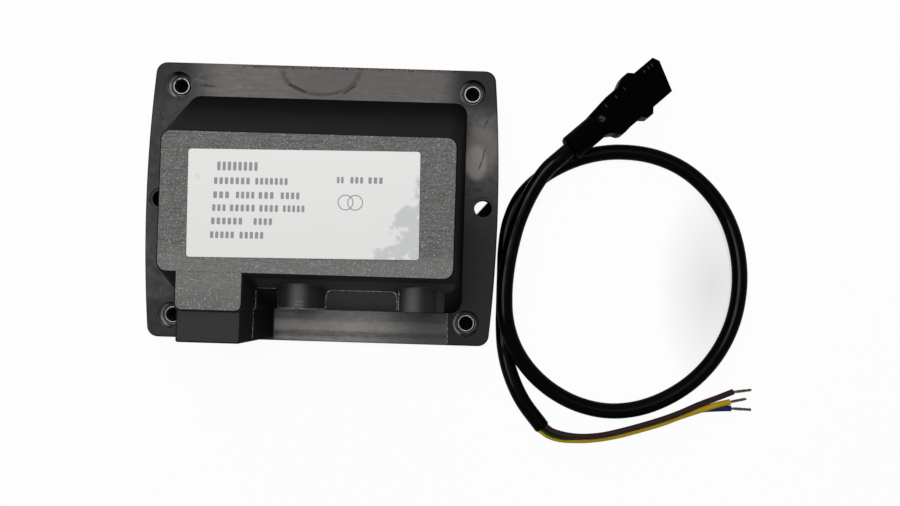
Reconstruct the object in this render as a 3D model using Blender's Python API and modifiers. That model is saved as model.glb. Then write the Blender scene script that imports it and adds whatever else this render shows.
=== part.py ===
"""Ignition transformer in a moulded housing, with its unplugged mains lead.

Frame: X to the right and Y away from the sockets, both in the plane of the flange,
Z out through the raised face. The back of the flange lies at z = 0 and its centre is the origin.
All sizes are metres.
"""

import math

import bmesh
import bpy
from mathutils import Matrix, Vector

# Gaps
CLEARANCE = 0.0003
GLUE_LINE = 0.0001

# Flange
FLANGE_HALF_WIDTH = 0.0652
FLANGE_BOW = 0.0025
FLANGE_HALF_DEPTH = 0.0529
FLANGE_THICKNESS = 0.0100
FLANGE_CORNER_RADIUS = 0.0042
FLANGE_EDGE_ROUND = 0.0005

# Fixing holes in the corners, and the plain holes in the bowed sides
FIXING_INSET_X = 0.0085
FIXING_INSET_Y = 0.0085
FIXING_RECESS_RADIUS = 0.0050
FIXING_RECESS_DEPTH = 0.0050
FIXING_SLEEVE_RADIUS = 0.0033
FIXING_SLEEVE_BORE = 0.0026
FIXING_SLEEVE_PROUD = 0.0010
SIDE_HOLE_INSET = 0.0057
SIDE_HOLE_RADIUS = 0.0034
SIDE_RECESS_RADIUS = 0.0043
SIDE_RECESS_DEPTH = 0.0007

# Body, a sloped box between the flange and the raised face
HOUSING_HEIGHT = 0.0580
BODY_BASE_CENTRE = (0.0012, -0.0003)
BODY_BASE_INSET = (0.0116, 0.0125)
BODY_BASE_RADIUS = 0.0045
BODY_FACE_CENTRE = (0.0010, -0.0038)
BODY_FACE_INSET = (0.0029, 0.0162)
BODY_FACE_RADIUS = 0.0034
FACE_EDGE_ROUND = 0.0005
WALL = 0.0030

# Mains socket block, its centre as a share of the body's half width
BLOCK_SHARE = -0.610
BLOCK_HALF_WIDTH = 0.0116
BLOCK_SIDE_DRAFT = 0.0035
BLOCK_END_INSET = 0.0010
BLOCK_STEP_LENGTH = 0.0108
BLOCK_SHOULDER_RADIUS = 0.0020
BLOCK_END_RADIUS = 0.0008
BLOCK_STEP_SIDE = 0.0007
BLOCK_STEP_TOP = 0.0017
BLOCK_CORE_WALL = 0.0032

# Sockets open towards -Y, all on one height. The two high-voltage tubes stand at shares of the
# body's half width.
SOCKET_BELOW_FACE = 0.0180
MAINS_WELL_DEPTH = 0.0200
MAINS_WELL_RADIUS = 0.0008
HV_SHARES = (-0.0625, 0.7267)
HV_TUBE_RADIUS = 0.0084
HV_TUBE_INSET = 0.0134
HV_BORE_RADIUS = 0.0048
HV_BORE_DEPTH = 0.0168
HV_MOUTH_CHAMFER = 0.0009
HV_INNER_WALL = 0.0018
HV_PIN_RADIUS = 0.0020
HV_PIN_REACH = 0.0072
HV_PIN_STUB = 0.0022

# Mains tabs and the contact sleeves that take them
TAB_PITCH = 0.0044
TAB_WIDTH = 0.0028
TAB_THICKNESS = 0.0008
TAB_REACH = 0.0105
TAB_STUB = 0.0022
CONTACT_WALL = 0.0003
CONTACT_LENGTH = 0.0105
CONTACT_SLOT_DEPTH = 0.0150

# Label plate on the raised face
LABEL_OFFSET = (-0.0008, -0.0003)
LABEL_MARGIN = (0.0111, 0.0058)
LABEL_RADIUS = 0.0010
LABEL_THICKNESS = 0.0003

# Laminated core, coil axis along X. It fills the housing but for the gaps named here, and its
# limbs are shares of its height.
CORE_END_GAP = 0.0037
CORE_TOP_GAP = 0.0085
CORE_STACK_SHARE = 0.519
CORE_CENTRE_SHARE = 0.304
CORE_CENTRE_Y = 0.0022
RESIN_SET_BACK = 0.0005
SHUNT_THICKNESS = 0.0040
BOBBIN_WALL = 0.0012
BOBBIN_FLANGE_SHARE = 0.4245
SECONDARY_SHARE = 0.344
COIL_EDGE = 0.0008
PRIMARY_MARGIN = 0.0010
SECONDARY_MARGIN = 0.0018

# Inner leads
HV_LEAD_RADIUS = 0.0008
HV_LEAD_SHIFT = 0.0030
PRIMARY_LEAD_RADIUS = 0.0006
LEAD_START = 0.0035

# Mains connector on the lead
CONNECTOR_THICKNESS = 0.0080
CONNECTOR_NOSE_HALF = 0.0074
CONNECTOR_LENGTH = 0.0495
CONNECTOR_FLARE_X = 0.0144
CONNECTOR_EDGE = 0.0008
BOOT_RADIUS = 0.0050
BOOT_OFFSET = 0.0011
BOOT_LENGTH = 0.0170
BOOT_EDGE = 0.0012
CONNECTOR_PLACE = (0.0268, 0.0235, 0.0108)
CONNECTOR_HEADING = math.radians(42.3)
CONNECTOR_TILT = math.radians(7.9)

# Mains lead
SHEATH_DIAMETER = 0.0060
CORE_DIAMETER = 0.0023
STRAND_DIAMETER = 0.0013
SHEATH_POINTS = 40
CORE_POINTS = 14

PART_NAME = "ignition_transformer"


def clear_scene():
    for old in list(bpy.data.objects):
        bpy.data.objects.remove(old, do_unlink=True)


clear_scene()
parts = bpy.data.collections.new(PART_NAME)
tools = bpy.data.collections.new("cutters")
bpy.context.scene.collection.children.link(parts)
bpy.context.scene.collection.children.link(tools)


# Materials

def make_material(name, colour, roughness, metallic=0.0):
    material = bpy.data.materials.new(name)
    material.use_nodes = True
    shader = material.node_tree.nodes["Principled BSDF"]
    shader.inputs["Base Color"].default_value = (*colour, 1.0)
    shader.inputs["Roughness"].default_value = roughness
    shader.inputs["Metallic"].default_value = metallic
    return material


HOUSING_BLACK = make_material("housing_plastic", (0.032, 0.030, 0.031), 0.42)
LABEL_WHITE = make_material("label_white", (0.82, 0.83, 0.84), 0.35)
SLEEVE_STEEL = make_material("sleeve_steel", (0.72, 0.72, 0.70), 0.25, 1.0)
CORE_STEEL = make_material("core_steel", (0.30, 0.30, 0.31), 0.45, 1.0)
BOBBIN_PLASTIC = make_material("bobbin_plastic", (0.62, 0.60, 0.52), 0.5)
WINDING_COPPER = make_material("winding_copper", (0.55, 0.24, 0.10), 0.35, 1.0)
TERMINAL_BRASS = make_material("terminal_brass", (0.72, 0.56, 0.26), 0.3, 1.0)
LEAD_PLASTIC = make_material("lead_plastic", (0.65, 0.63, 0.58), 0.5)
RESIN_DARK = make_material("potting_resin", (0.05, 0.045, 0.04), 0.35)
CORD_BLACK = make_material("cord_black", (0.012, 0.012, 0.013), 0.35)
CORE_BROWN = make_material("core_brown", (0.13, 0.065, 0.05), 0.45)
CORE_YELLOW = make_material("core_green_yellow", (0.85, 0.68, 0.08), 0.45)
CORE_BLUE = make_material("core_blue", (0.10, 0.20, 0.55), 0.45)
STRAND_COPPER = make_material("strand_copper", (0.62, 0.48, 0.36), 0.4, 1.0)


# Helpers that place meshes and cut them

def new_object(name, mesh, material=None, cutter=False):
    obj = bpy.data.objects.new(name, mesh)
    (tools if cutter else parts).objects.link(obj)
    if cutter:
        obj.hide_render = True
        obj.display_type = "WIRE"
    if material is not None:
        mesh.materials.append(material)
    return obj


def finish_mesh(bm, name):
    """Turn the faces outwards and hand the mesh over."""
    bm.normal_update()
    bmesh.ops.recalc_face_normals(bm, faces=bm.faces)
    if bm.calc_volume(signed=True) < 0:
        bmesh.ops.reverse_faces(bm, faces=bm.faces)
    mesh = bpy.data.meshes.new(name)
    bm.to_mesh(mesh)
    bm.free()
    return mesh


def smooth_round_faces(mesh, angle=math.radians(32)):
    mesh.shade_smooth()
    mesh.set_sharp_from_angle(angle=angle)


def boolean(target, other, operation):
    """Cut or join another closed mesh, which then stays among the cutters."""
    step = target.modifiers.new(operation.lower() + "_" + other.name, "BOOLEAN")
    step.operation = operation
    step.object = other
    step.solver = "EXACT"
    return step


def rounded_rect(centre, half, radius, steps=4):
    """Corner points of a rounded rectangle, anticlockwise from the right-hand side."""
    points = []
    corners = ((1, -1, -90), (1, 1, 0), (-1, 1, 90), (-1, -1, 180))
    for side_x, side_y, start in corners:
        cx = centre[0] + side_x * (half[0] - radius)
        cy = centre[1] + side_y * (half[1] - radius)
        for step in range(steps + 1):
            turn = math.radians(start + 90 * step / steps)
            points.append((cx + radius * math.cos(turn), cy + radius * math.sin(turn)))
    return points


def bridge(bm, ring_a, ring_b):
    count = len(ring_a)
    for i in range(count):
        j = (i + 1) % count
        bm.faces.new((ring_a[i], ring_a[j], ring_b[j], ring_b[i]))


def loft(name, rings, closed=False):
    """Skin a list of rings of 3-D points. Ends are capped, or joined to each other if closed."""
    bm = bmesh.new()
    skins = [[bm.verts.new(p) for p in ring] for ring in rings]
    for ring_a, ring_b in zip(skins, skins[1:]):
        bridge(bm, ring_a, ring_b)
    if closed:
        bridge(bm, skins[-1], skins[0])
    else:
        bm.faces.new(skins[0])
        bm.faces.new(skins[-1])
    return finish_mesh(bm, name)


def at_height(outline, z):
    return [(x, y, z) for x, y in outline]


def inset(outline, amount):
    """Move each side of an anticlockwise outline inwards by amount, with mitred corners."""
    moved = []
    count = len(outline)
    for i in range(count):
        before, here, after = (Vector(outline[j]) for j in ((i - 1) % count, i, (i + 1) % count))
        first = (here - before).normalized()
        second = (after - here).normalized()
        inward = Vector((-first.y - second.y, first.x + second.x)).normalized()
        share = max(inward.dot(Vector((-first.y, first.x))), 0.3)
        moved.append(tuple(here + inward * (amount / share)))
    return moved


def rounded_slab(name, outline, low, high, edge):
    """Upright solid on a plan outline with both rims rounded by a chamfer of two steps."""
    rings = []
    for z, side in ((low, 1), (high, -1)):
        steps = ((0.0, edge), (0.3, 0.3 * edge), (1.0, 0.0))
        rings_here = [at_height(inset(outline, pull), z + side * rise * edge) for rise, pull in steps]
        rings += rings_here if side > 0 else rings_here[::-1]
    return loft(name, rings)


def prism(name, outline, low, high):
    """Upright solid on a plan outline, made as a filled 2-D curve and turned into a mesh."""
    curve = bpy.data.curves.new(name, "CURVE")
    curve.dimensions = "2D"
    curve.fill_mode = "BOTH"
    curve.extrude = (high - low) / 2
    spline = curve.splines.new("POLY")
    spline.points.add(len(outline) - 1)
    for point, (x, y) in zip(spline.points, outline):
        point.co = (x, y, 0, 1)
    spline.use_cyclic_u = True
    mesh = curve_to_mesh(name, curve)
    mesh.transform(Matrix.Translation((0, 0, (low + high) / 2)))
    return mesh


def curve_to_mesh(name, curve):
    """Evaluate a curve as a mesh and weld its caps."""
    holder = bpy.data.objects.new(name + "_curve", curve)
    tools.objects.link(holder)
    graph = bpy.context.evaluated_depsgraph_get()
    mesh = bpy.data.meshes.new_from_object(holder.evaluated_get(graph))
    bpy.data.objects.remove(holder, do_unlink=True)
    bm = bmesh.new()
    bm.from_mesh(mesh)
    bmesh.ops.remove_doubles(bm, verts=bm.verts, dist=0.000001)
    bpy.data.meshes.remove(mesh)
    return finish_mesh(bm, name)


def round_edges(mesh, width, segments=2, angle=math.radians(40)):
    """Round every edge that is sharper than angle."""
    bm = bmesh.new()
    bm.from_mesh(mesh)
    bmesh.ops.dissolve_limit(bm, angle_limit=0.001, verts=bm.verts, edges=bm.edges)
    sharp = [e for e in bm.edges if len(e.link_faces) == 2 and e.calc_face_angle() > angle]
    bmesh.ops.bevel(bm, geom=sharp, offset=width, segments=segments, profile=0.5, affect="EDGES",
                    clamp_overlap=False)
    bm.to_mesh(mesh)
    bm.free()
    return mesh


def box(name, low, high):
    bm = bmesh.new()
    bmesh.ops.create_cube(bm, size=1.0)
    size = Vector(high) - Vector(low)
    middle = (Vector(high) + Vector(low)) / 2
    bm.transform(Matrix.Translation(middle) @ Matrix.Diagonal((*size, 1.0)))
    return finish_mesh(bm, name)


def rod(name, radius, start, end, sides=24, radius_end=None):
    """Round bar or cone between two points."""
    start, end = Vector(start), Vector(end)
    along = end - start
    bm = bmesh.new()
    bmesh.ops.create_cone(bm, cap_ends=True, segments=sides, radius1=radius,
                          radius2=radius if radius_end is None else radius_end, depth=along.length)
    turn = along.to_track_quat("Z", "Y").to_matrix().to_4x4()
    bm.transform(Matrix.Translation((start + end) / 2) @ turn)
    return finish_mesh(bm, name)


def turned(name, profile, sides, material):
    """Ring turned about Z from a closed profile of radius and height, with a Screw modifier."""
    bm = bmesh.new()
    verts = [bm.verts.new((r, 0, z)) for r, z in profile]
    for i in range(len(verts)):
        bm.edges.new((verts[i], verts[(i + 1) % len(verts)]))
    mesh = bpy.data.meshes.new(name)
    bm.to_mesh(mesh)
    bm.free()
    obj = new_object(name, mesh, material)
    screw = obj.modifiers.new("turn", "SCREW")
    screw.steps = sides
    screw.render_steps = sides
    screw.use_merge_vertices = True
    screw.merge_threshold = 0.00001
    screw.use_smooth_shade = True
    return obj


def smooth_route(route, count):
    """Read evenly spaced points from a centripetal Catmull-Rom curve through the route."""
    pts = [Vector(p) for p in route]
    pts = [pts[0] * 2 - pts[1]] + pts + [pts[-1] * 2 - pts[-2]]
    dense = []
    for p0, p1, p2, p3 in zip(pts, pts[1:], pts[2:], pts[3:]):
        t1 = (p1 - p0).length ** 0.5
        t2 = t1 + (p2 - p1).length ** 0.5
        t3 = t2 + (p3 - p2).length ** 0.5
        for step in range(16):
            t = t1 + (t2 - t1) * step / 16
            a1 = p0 * ((t1 - t) / t1) + p1 * (t / t1)
            a2 = p1 * ((t2 - t) / (t2 - t1)) + p2 * ((t - t1) / (t2 - t1))
            a3 = p2 * ((t3 - t) / (t3 - t2)) + p3 * ((t - t2) / (t3 - t2))
            b1 = a1 * ((t2 - t) / t2) + a2 * (t / t2)
            b2 = a2 * ((t3 - t) / (t3 - t1)) + a3 * ((t - t1) / (t3 - t1))
            dense.append(b1 * ((t2 - t) / (t2 - t1)) + b2 * ((t - t1) / (t2 - t1)))
    dense.append(Vector(pts[-2]))
    travelled = [0.0]
    for a, b in zip(dense, dense[1:]):
        travelled.append(travelled[-1] + (b - a).length)
    even = []
    seek = 0
    for i in range(count):
        target = travelled[-1] * i / (count - 1)
        while seek < len(dense) - 2 and travelled[seek + 1] < target:
            seek += 1
        share = (target - travelled[seek]) / max(travelled[seek + 1] - travelled[seek], 1e-9)
        even.append(dense[seek].lerp(dense[seek + 1], min(max(share, 0.0), 1.0)))
    return even


def tube_curve(name, points, radius, resolution):
    curve = bpy.data.curves.new(name, "CURVE")
    curve.dimensions = "3D"
    curve.bevel_depth = radius
    curve.bevel_resolution = resolution
    curve.use_fill_caps = True
    spline = curve.splines.new("POLY")
    spline.points.add(len(points) - 1)
    for point, place in zip(spline.points, points):
        point.co = (*place, 1)
    return curve


def lay_tube(name, route, radius, count, material, resolution=2):
    """Round cord or wire along a route, kept as a curve object with filled caps."""
    curve = tube_curve(name, smooth_route(route, count), radius, resolution)
    curve.materials.append(material)
    obj = bpy.data.objects.new(name, curve)
    parts.objects.link(obj)
    return obj


def tube_cutter(name, route, radius, count):
    curve = tube_curve(name, smooth_route(route, count), radius, 2)
    return new_object(name, curve_to_mesh(name, curve), cutter=True)


# Sizes that several pieces share

FIXING_HALF_X = FLANGE_HALF_WIDTH - FIXING_INSET_X
FIXING_HALF_Y = FLANGE_HALF_DEPTH - FIXING_INSET_Y
FLANGE_SIDE_X = FLANGE_HALF_WIDTH + FLANGE_BOW
SIDE_HOLE_X = FLANGE_SIDE_X - SIDE_HOLE_INSET
BODY_BASE_HALF = (FLANGE_HALF_WIDTH - BODY_BASE_INSET[0], FLANGE_HALF_DEPTH - BODY_BASE_INSET[1])
BODY_FACE_HALF = (BODY_BASE_HALF[0] - BODY_FACE_INSET[0], BODY_BASE_HALF[1] - BODY_FACE_INSET[1])
BLOCK_X = BODY_BASE_CENTRE[0] + BLOCK_SHARE * BODY_BASE_HALF[0]
BLOCK_END_Y = BLOCK_END_INSET - FLANGE_HALF_DEPTH
BLOCK_SHOULDER_Y = BLOCK_END_Y + BLOCK_STEP_LENGTH
SOCKET_AXIS_Z = HOUSING_HEIGHT - SOCKET_BELOW_FACE
HV_AXES_X = [BODY_BASE_CENTRE[0] + share * BODY_BASE_HALF[0] for share in HV_SHARES]
HV_TUBE_END_Y = HV_TUBE_INSET - FLANGE_HALF_DEPTH
HV_BORE_END_Y = HV_TUBE_END_Y + HV_BORE_DEPTH
HV_INNER_END_Y = HV_BORE_END_Y + HV_INNER_WALL
HV_INNER_RADIUS = HV_BORE_RADIUS + HV_INNER_WALL
MAINS_WELL_HALF_X = CONNECTOR_NOSE_HALF + 2 * CLEARANCE
MAINS_WELL_HALF_Z = CONNECTOR_THICKNESS / 2 + 2 * CLEARANCE
MAINS_WELL_END_Y = BLOCK_END_Y + MAINS_WELL_DEPTH
CORE_HEIGHT = HOUSING_HEIGHT - WALL - CORE_TOP_GAP - RESIN_SET_BACK
CORE_CENTRE_LIMB = CORE_CENTRE_SHARE * CORE_HEIGHT
CORE_OUTER_LIMB = CORE_CENTRE_LIMB / 2
CORE_WINDOW = CORE_HEIGHT / 2 - CORE_CENTRE_LIMB
CORE_LENGTH = 2 * (min(BODY_BASE_HALF[0], BODY_FACE_HALF[0]) - WALL - CORE_END_GAP)
ROOM_HALF_Y = BODY_FACE_HALF[1] - WALL
CORE_STACK = 2 * CORE_STACK_SHARE * ROOM_HALF_Y
BOBBIN_FLANGE_DEPTH_Y = BOBBIN_FLANGE_SHARE * ROOM_HALF_Y
CORE_LOW_X = BODY_BASE_CENTRE[0] - CORE_LENGTH / 2
CORE_HIGH_X = CORE_LOW_X + CORE_LENGTH
CORE_LOW_Y = CORE_CENTRE_Y - CORE_STACK / 2
CORE_HIGH_Y = CORE_CENTRE_Y + CORE_STACK / 2
COIL_AXIS_Z = RESIN_SET_BACK + CORE_HEIGHT / 2
WINDOW_LOW_X = CORE_LOW_X + CORE_OUTER_LIMB
WINDOW_HIGH_X = CORE_HIGH_X - CORE_OUTER_LIMB - CLEARANCE
BOBBIN_HOLE_HALF_Y = CORE_STACK / 2 + CLEARANCE
BOBBIN_HOLE_HALF_Z = CORE_CENTRE_LIMB / 2 + CLEARANCE
BOBBIN_FLANGE_HALF_Y = CORE_STACK / 2 + BOBBIN_FLANGE_DEPTH_Y
BOBBIN_FLANGE_HALF_Z = CORE_CENTRE_LIMB / 2 + CORE_WINDOW - CLEARANCE


def body_section(z, inset=0.0):
    """Rounded outline of the body at height z, drawn in by inset. Below the flange top it is upright."""
    t = (z - FLANGE_THICKNESS) / (HOUSING_HEIGHT - FLANGE_THICKNESS)
    t = max(t, 0.0)
    centre = [a + (b - a) * t for a, b in zip(BODY_BASE_CENTRE, BODY_FACE_CENTRE)]
    half = [a + (b - a) * t - inset for a, b in zip(BODY_BASE_HALF, BODY_FACE_HALF)]
    radius = BODY_BASE_RADIUS + (BODY_FACE_RADIUS - BODY_BASE_RADIUS) * t
    return at_height(rounded_rect(centre, half, max(radius - inset * 0.5, 0.001)), z)


def front_wall_y(z):
    """Outer surface of the sloped front wall at height z."""
    t = (z - FLANGE_THICKNESS) / (HOUSING_HEIGHT - FLANGE_THICKNESS)
    base = BODY_BASE_CENTRE[1] - BODY_BASE_HALF[1]
    face = BODY_FACE_CENTRE[1] - BODY_FACE_HALF[1]
    return base + (face - base) * t


def flange_outline():
    """Flange in plan: straight long sides, short sides bowed on one arc, round corners."""
    half_y = FLANGE_HALF_DEPTH
    bow_radius = (half_y ** 2 + FLANGE_BOW ** 2) / (2 * FLANGE_BOW)
    bow_centre = FLANGE_HALF_WIDTH + FLANGE_BOW - bow_radius
    reach = half_y - FLANGE_CORNER_RADIUS
    quarter = []
    for step in range(9):
        y = reach * step / 8
        quarter.append((bow_centre + math.sqrt(bow_radius ** 2 - y ** 2), y))
    corner_x = quarter[-1][0] - FLANGE_CORNER_RADIUS
    for step in range(1, 7):
        turn = math.radians(90 * step / 6)
        quarter.append((corner_x + FLANGE_CORNER_RADIUS * math.cos(turn),
                        reach + FLANGE_CORNER_RADIUS * math.sin(turn)))
    top_right = quarter
    top_left = [(-x, y) for x, y in reversed(top_right)]
    bottom_left = [(-x, -y) for x, y in top_right[1:]]
    bottom_right = [(x, -y) for x, y in reversed(top_right[1:])]
    return top_right + top_left + bottom_left + bottom_right


# Housing

def block_rings(half_width, back_y, end_y, top, radius):
    """Upright rounded block whose sides spread towards the flange."""
    rings = []
    for z in (FLANGE_THICKNESS / 2, top - FACE_EDGE_ROUND, top):
        spread = BLOCK_SIDE_DRAFT * (HOUSING_HEIGHT - z) / (HOUSING_HEIGHT - FLANGE_THICKNESS)
        pull = FACE_EDGE_ROUND if z == top else 0.0
        half = (half_width + spread - pull, (back_y - end_y) / 2 - pull)
        centre = (BLOCK_X, (back_y + end_y) / 2)
        rings.append(at_height(rounded_rect(centre, half, radius, 3), z))
    return rings


def build_housing():
    flange_mesh = rounded_slab("housing", flange_outline(), 0.0, FLANGE_THICKNESS, FLANGE_EDGE_ROUND)
    housing = new_object("housing", flange_mesh, HOUSING_BLACK)

    def add(name, mesh):
        boolean(housing, new_object(name, mesh, cutter=True), "UNION")

    def cut(name, mesh):
        boolean(housing, new_object(name, mesh, cutter=True), "DIFFERENCE")

    top = HOUSING_HEIGHT
    body = [body_section(FLANGE_THICKNESS / 2), body_section(FLANGE_THICKNESS),
            body_section(top - FACE_EDGE_ROUND)]
    body.append([(x, y, top) for x, y, z in body_section(top - FACE_EDGE_ROUND, FACE_EDGE_ROUND)])
    add("body_form", loft("body_form", body))
    behind = front_wall_y(top) + 2 * WALL
    add("block_shoulder_form", loft("block_shoulder_form", block_rings(
        BLOCK_HALF_WIDTH, behind, BLOCK_SHOULDER_Y, top - GLUE_LINE, BLOCK_SHOULDER_RADIUS)))
    add("block_end_form", loft("block_end_form", block_rings(
        BLOCK_HALF_WIDTH - BLOCK_STEP_SIDE, behind, BLOCK_END_Y, top - BLOCK_STEP_TOP,
        BLOCK_END_RADIUS)))
    for index, x in enumerate(HV_AXES_X):
        start = (x, HV_TUBE_END_Y, SOCKET_AXIS_Z)
        end = (x, front_wall_y(SOCKET_AXIS_Z) + WALL, SOCKET_AXIS_Z)
        add(f"hv_tube_form_{index}", rod(f"hv_tube_form_{index}", HV_TUBE_RADIUS, start, end, 40))

    cavity = [body_section(z, WALL) for z in (-WALL, FLANGE_THICKNESS, top - WALL)]
    cut("cavity_form", loft("cavity_form", cavity))
    pocket_top = SOCKET_AXIS_Z - MAINS_WELL_HALF_Z - WALL
    pocket_half = BLOCK_HALF_WIDTH - BLOCK_STEP_SIDE - BLOCK_CORE_WALL
    pocket_low_y = BLOCK_END_Y + BLOCK_CORE_WALL
    cut("block_pocket_form", box("block_pocket_form",
                                 (BLOCK_X - pocket_half, pocket_low_y, -WALL),
                                 (BLOCK_X + pocket_half, front_wall_y(0.0) + 3 * WALL, pocket_top)))
    for index, x in enumerate(HV_AXES_X):
        outer = rod(f"hv_inner_form_{index}", HV_INNER_RADIUS,
                    (x, HV_TUBE_END_Y + WALL, SOCKET_AXIS_Z), (x, HV_INNER_END_Y, SOCKET_AXIS_Z), 32)
        add(f"hv_inner_form_{index}", outer)
    for index, x in enumerate(HV_AXES_X):
        mouth = HV_TUBE_END_Y - HV_MOUTH_CHAMFER
        cut(f"hv_bore_form_{index}", rod(f"hv_bore_form_{index}", HV_BORE_RADIUS,
                                         (x, mouth, SOCKET_AXIS_Z),
                                         (x, HV_BORE_END_Y, SOCKET_AXIS_Z), 32))
        cut(f"hv_mouth_form_{index}", rod(f"hv_mouth_form_{index}",
                                          HV_BORE_RADIUS + 2 * HV_MOUTH_CHAMFER,
                                          (x, mouth, SOCKET_AXIS_Z),
                                          (x, HV_TUBE_END_Y + HV_MOUTH_CHAMFER, SOCKET_AXIS_Z), 32,
                                          HV_BORE_RADIUS))
        cut(f"hv_pin_way_{index}", rod(f"hv_pin_way_{index}", HV_PIN_RADIUS + CLEARANCE,
                                       (x, HV_BORE_END_Y - WALL, SOCKET_AXIS_Z),
                                       (x, HV_INNER_END_Y + WALL, SOCKET_AXIS_Z), 20))
    well = rounded_rect((BLOCK_X, SOCKET_AXIS_Z), (MAINS_WELL_HALF_X, MAINS_WELL_HALF_Z),
                        MAINS_WELL_RADIUS, 2)
    well_rings = [[(x, y, z) for x, z in well] for y in (BLOCK_END_Y - WALL, MAINS_WELL_END_Y)]
    cut("mains_well_form", loft("mains_well_form", well_rings))
    for index, x in enumerate(tab_places()):
        cut(f"tab_way_{index}", box(f"tab_way_{index}",
                                    (x - TAB_THICKNESS / 2 - CLEARANCE, MAINS_WELL_END_Y - WALL,
                                     SOCKET_AXIS_Z - TAB_WIDTH / 2 - CLEARANCE),
                                    (x + TAB_THICKNESS / 2 + CLEARANCE, MAINS_WELL_END_Y + 2 * WALL,
                                     SOCKET_AXIS_Z + TAB_WIDTH / 2 + CLEARANCE)))
    for index, (x, y) in enumerate(fixing_places()):
        cut(f"fixing_hole_{index}", rod(f"fixing_hole_{index}", FIXING_SLEEVE_RADIUS + CLEARANCE,
                                        (x, y, -WALL), (x, y, FLANGE_THICKNESS), 28))
        cut(f"fixing_recess_{index}", rod(f"fixing_recess_{index}", FIXING_RECESS_RADIUS,
                                          (x, y, FLANGE_THICKNESS - FIXING_RECESS_DEPTH),
                                          (x, y, FLANGE_THICKNESS + WALL), 32))
    for index, x in enumerate((-SIDE_HOLE_X, SIDE_HOLE_X)):
        cut(f"side_hole_{index}", rod(f"side_hole_{index}", SIDE_HOLE_RADIUS,
                                      (x, 0, -WALL), (x, 0, FLANGE_THICKNESS + WALL), 28))
        cut(f"side_recess_{index}", rod(f"side_recess_{index}", SIDE_RECESS_RADIUS,
                                        (x, 0, FLANGE_THICKNESS - SIDE_RECESS_DEPTH),
                                        (x, 0, FLANGE_THICKNESS + WALL), 32))
    return housing


def fixing_places():
    return [(sx * FIXING_HALF_X, sy * FIXING_HALF_Y) for sy in (1, -1) for sx in (-1, 1)]


def tab_places():
    return [BLOCK_X + i * TAB_PITCH for i in (-1, 0, 1)]


def build_fixings():
    low = 0.0
    high = FLANGE_THICKNESS - FIXING_RECESS_DEPTH + FIXING_SLEEVE_PROUD
    chamfer = FIXING_SLEEVE_BORE / 8
    profile = [(FIXING_SLEEVE_RADIUS, high - chamfer), (FIXING_SLEEVE_RADIUS, low),
               (FIXING_SLEEVE_BORE, low), (FIXING_SLEEVE_BORE, high - chamfer),
               (FIXING_SLEEVE_BORE + chamfer, high), (FIXING_SLEEVE_RADIUS - chamfer / 2, high)]
    names = ("rear_left", "rear_right", "front_left", "front_right")
    for name, (x, y) in zip(names, fixing_places()):
        sleeve = turned(f"fixing_sleeve_{name}", profile, 28, SLEEVE_STEEL)
        sleeve.location = (x, y, 0)


def build_label():
    centre = [a + b for a, b in zip(BODY_FACE_CENTRE, LABEL_OFFSET)]
    half = [a - b for a, b in zip(BODY_FACE_HALF, LABEL_MARGIN)]
    outline = rounded_rect(centre, half, LABEL_RADIUS, 3)
    low = HOUSING_HEIGHT + GLUE_LINE
    mesh = prism("name_label", outline, low, low + LABEL_THICKNESS)
    new_object("name_label", mesh, LABEL_WHITE)


# Terminals

def build_terminals():
    for side, x in zip(("left", "right"), HV_AXES_X):
        tip = HV_BORE_END_Y - HV_PIN_REACH
        pin = rod(f"hv_terminal_{side}", HV_PIN_RADIUS, (x, tip, SOCKET_AXIS_Z),
                  (x, HV_INNER_END_Y + HV_PIN_STUB, SOCKET_AXIS_Z), 20)
        round_edges(pin, HV_PIN_RADIUS / 5, 1)
        smooth_round_faces(pin)
        new_object(f"hv_terminal_{side}", pin, TERMINAL_BRASS)
    for name, x in zip(("live", "earth", "neutral"), tab_places()):
        low = (x - TAB_THICKNESS / 2, MAINS_WELL_END_Y - TAB_REACH, SOCKET_AXIS_Z - TAB_WIDTH / 2)
        high = (x + TAB_THICKNESS / 2, tab_inner_y(), SOCKET_AXIS_Z + TAB_WIDTH / 2)
        tab = round_edges(box(f"mains_tab_{name}", low, high), TAB_THICKNESS / 5, 1)
        new_object(f"mains_tab_{name}", tab, TERMINAL_BRASS)


def tab_inner_y():
    return front_wall_y(SOCKET_AXIS_Z) + WALL + TAB_STUB


# Core, coils and shunts

def upright_plate(name, outline, material):
    """Lamination pack: an outline in X and Z, stacked along Y."""
    mesh = prism(name, outline, -CORE_STACK / 2, CORE_STACK / 2)
    mesh.transform(Matrix.Rotation(math.radians(90), 4, "X"))
    mesh.transform(Matrix.Translation((0, CORE_CENTRE_Y, 0)))
    return new_object(name, mesh, material)


def build_core():
    z0 = RESIN_SET_BACK
    z1 = z0 + CORE_OUTER_LIMB
    z2 = z1 + CORE_WINDOW
    z3 = z2 + CORE_CENTRE_LIMB
    z4 = z3 + CORE_WINDOW
    z5 = z4 + CORE_OUTER_LIMB
    left = CORE_LOW_X
    inner = WINDOW_LOW_X
    tips = WINDOW_HIGH_X
    comb = [(left, z0), (tips, z0), (tips, z1), (inner, z1), (inner, z2), (tips, z2),
            (tips, z3), (inner, z3), (inner, z4), (tips, z4), (tips, z5), (left, z5)]
    upright_plate("core_e_pack", comb, CORE_STEEL)
    bar = [(tips + CLEARANCE, z0), (CORE_HIGH_X, z0), (CORE_HIGH_X, z5), (tips + CLEARANCE, z5)]
    upright_plate("core_i_pack", bar, CORE_STEEL)


def coil_spans():
    """Lengths along X of the two secondaries and the primary, with a shunt between each two."""
    low = WINDOW_LOW_X + CLEARANCE
    high = WINDOW_HIGH_X - CLEARANCE
    gap = SHUNT_THICKNESS + 2 * CLEARANCE
    secondary = SECONDARY_SHARE * (high - low - 2 * gap)
    left = (low, low + secondary)
    right = (high - secondary, high)
    return left, (left[1] + gap, right[0] - gap), right


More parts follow.
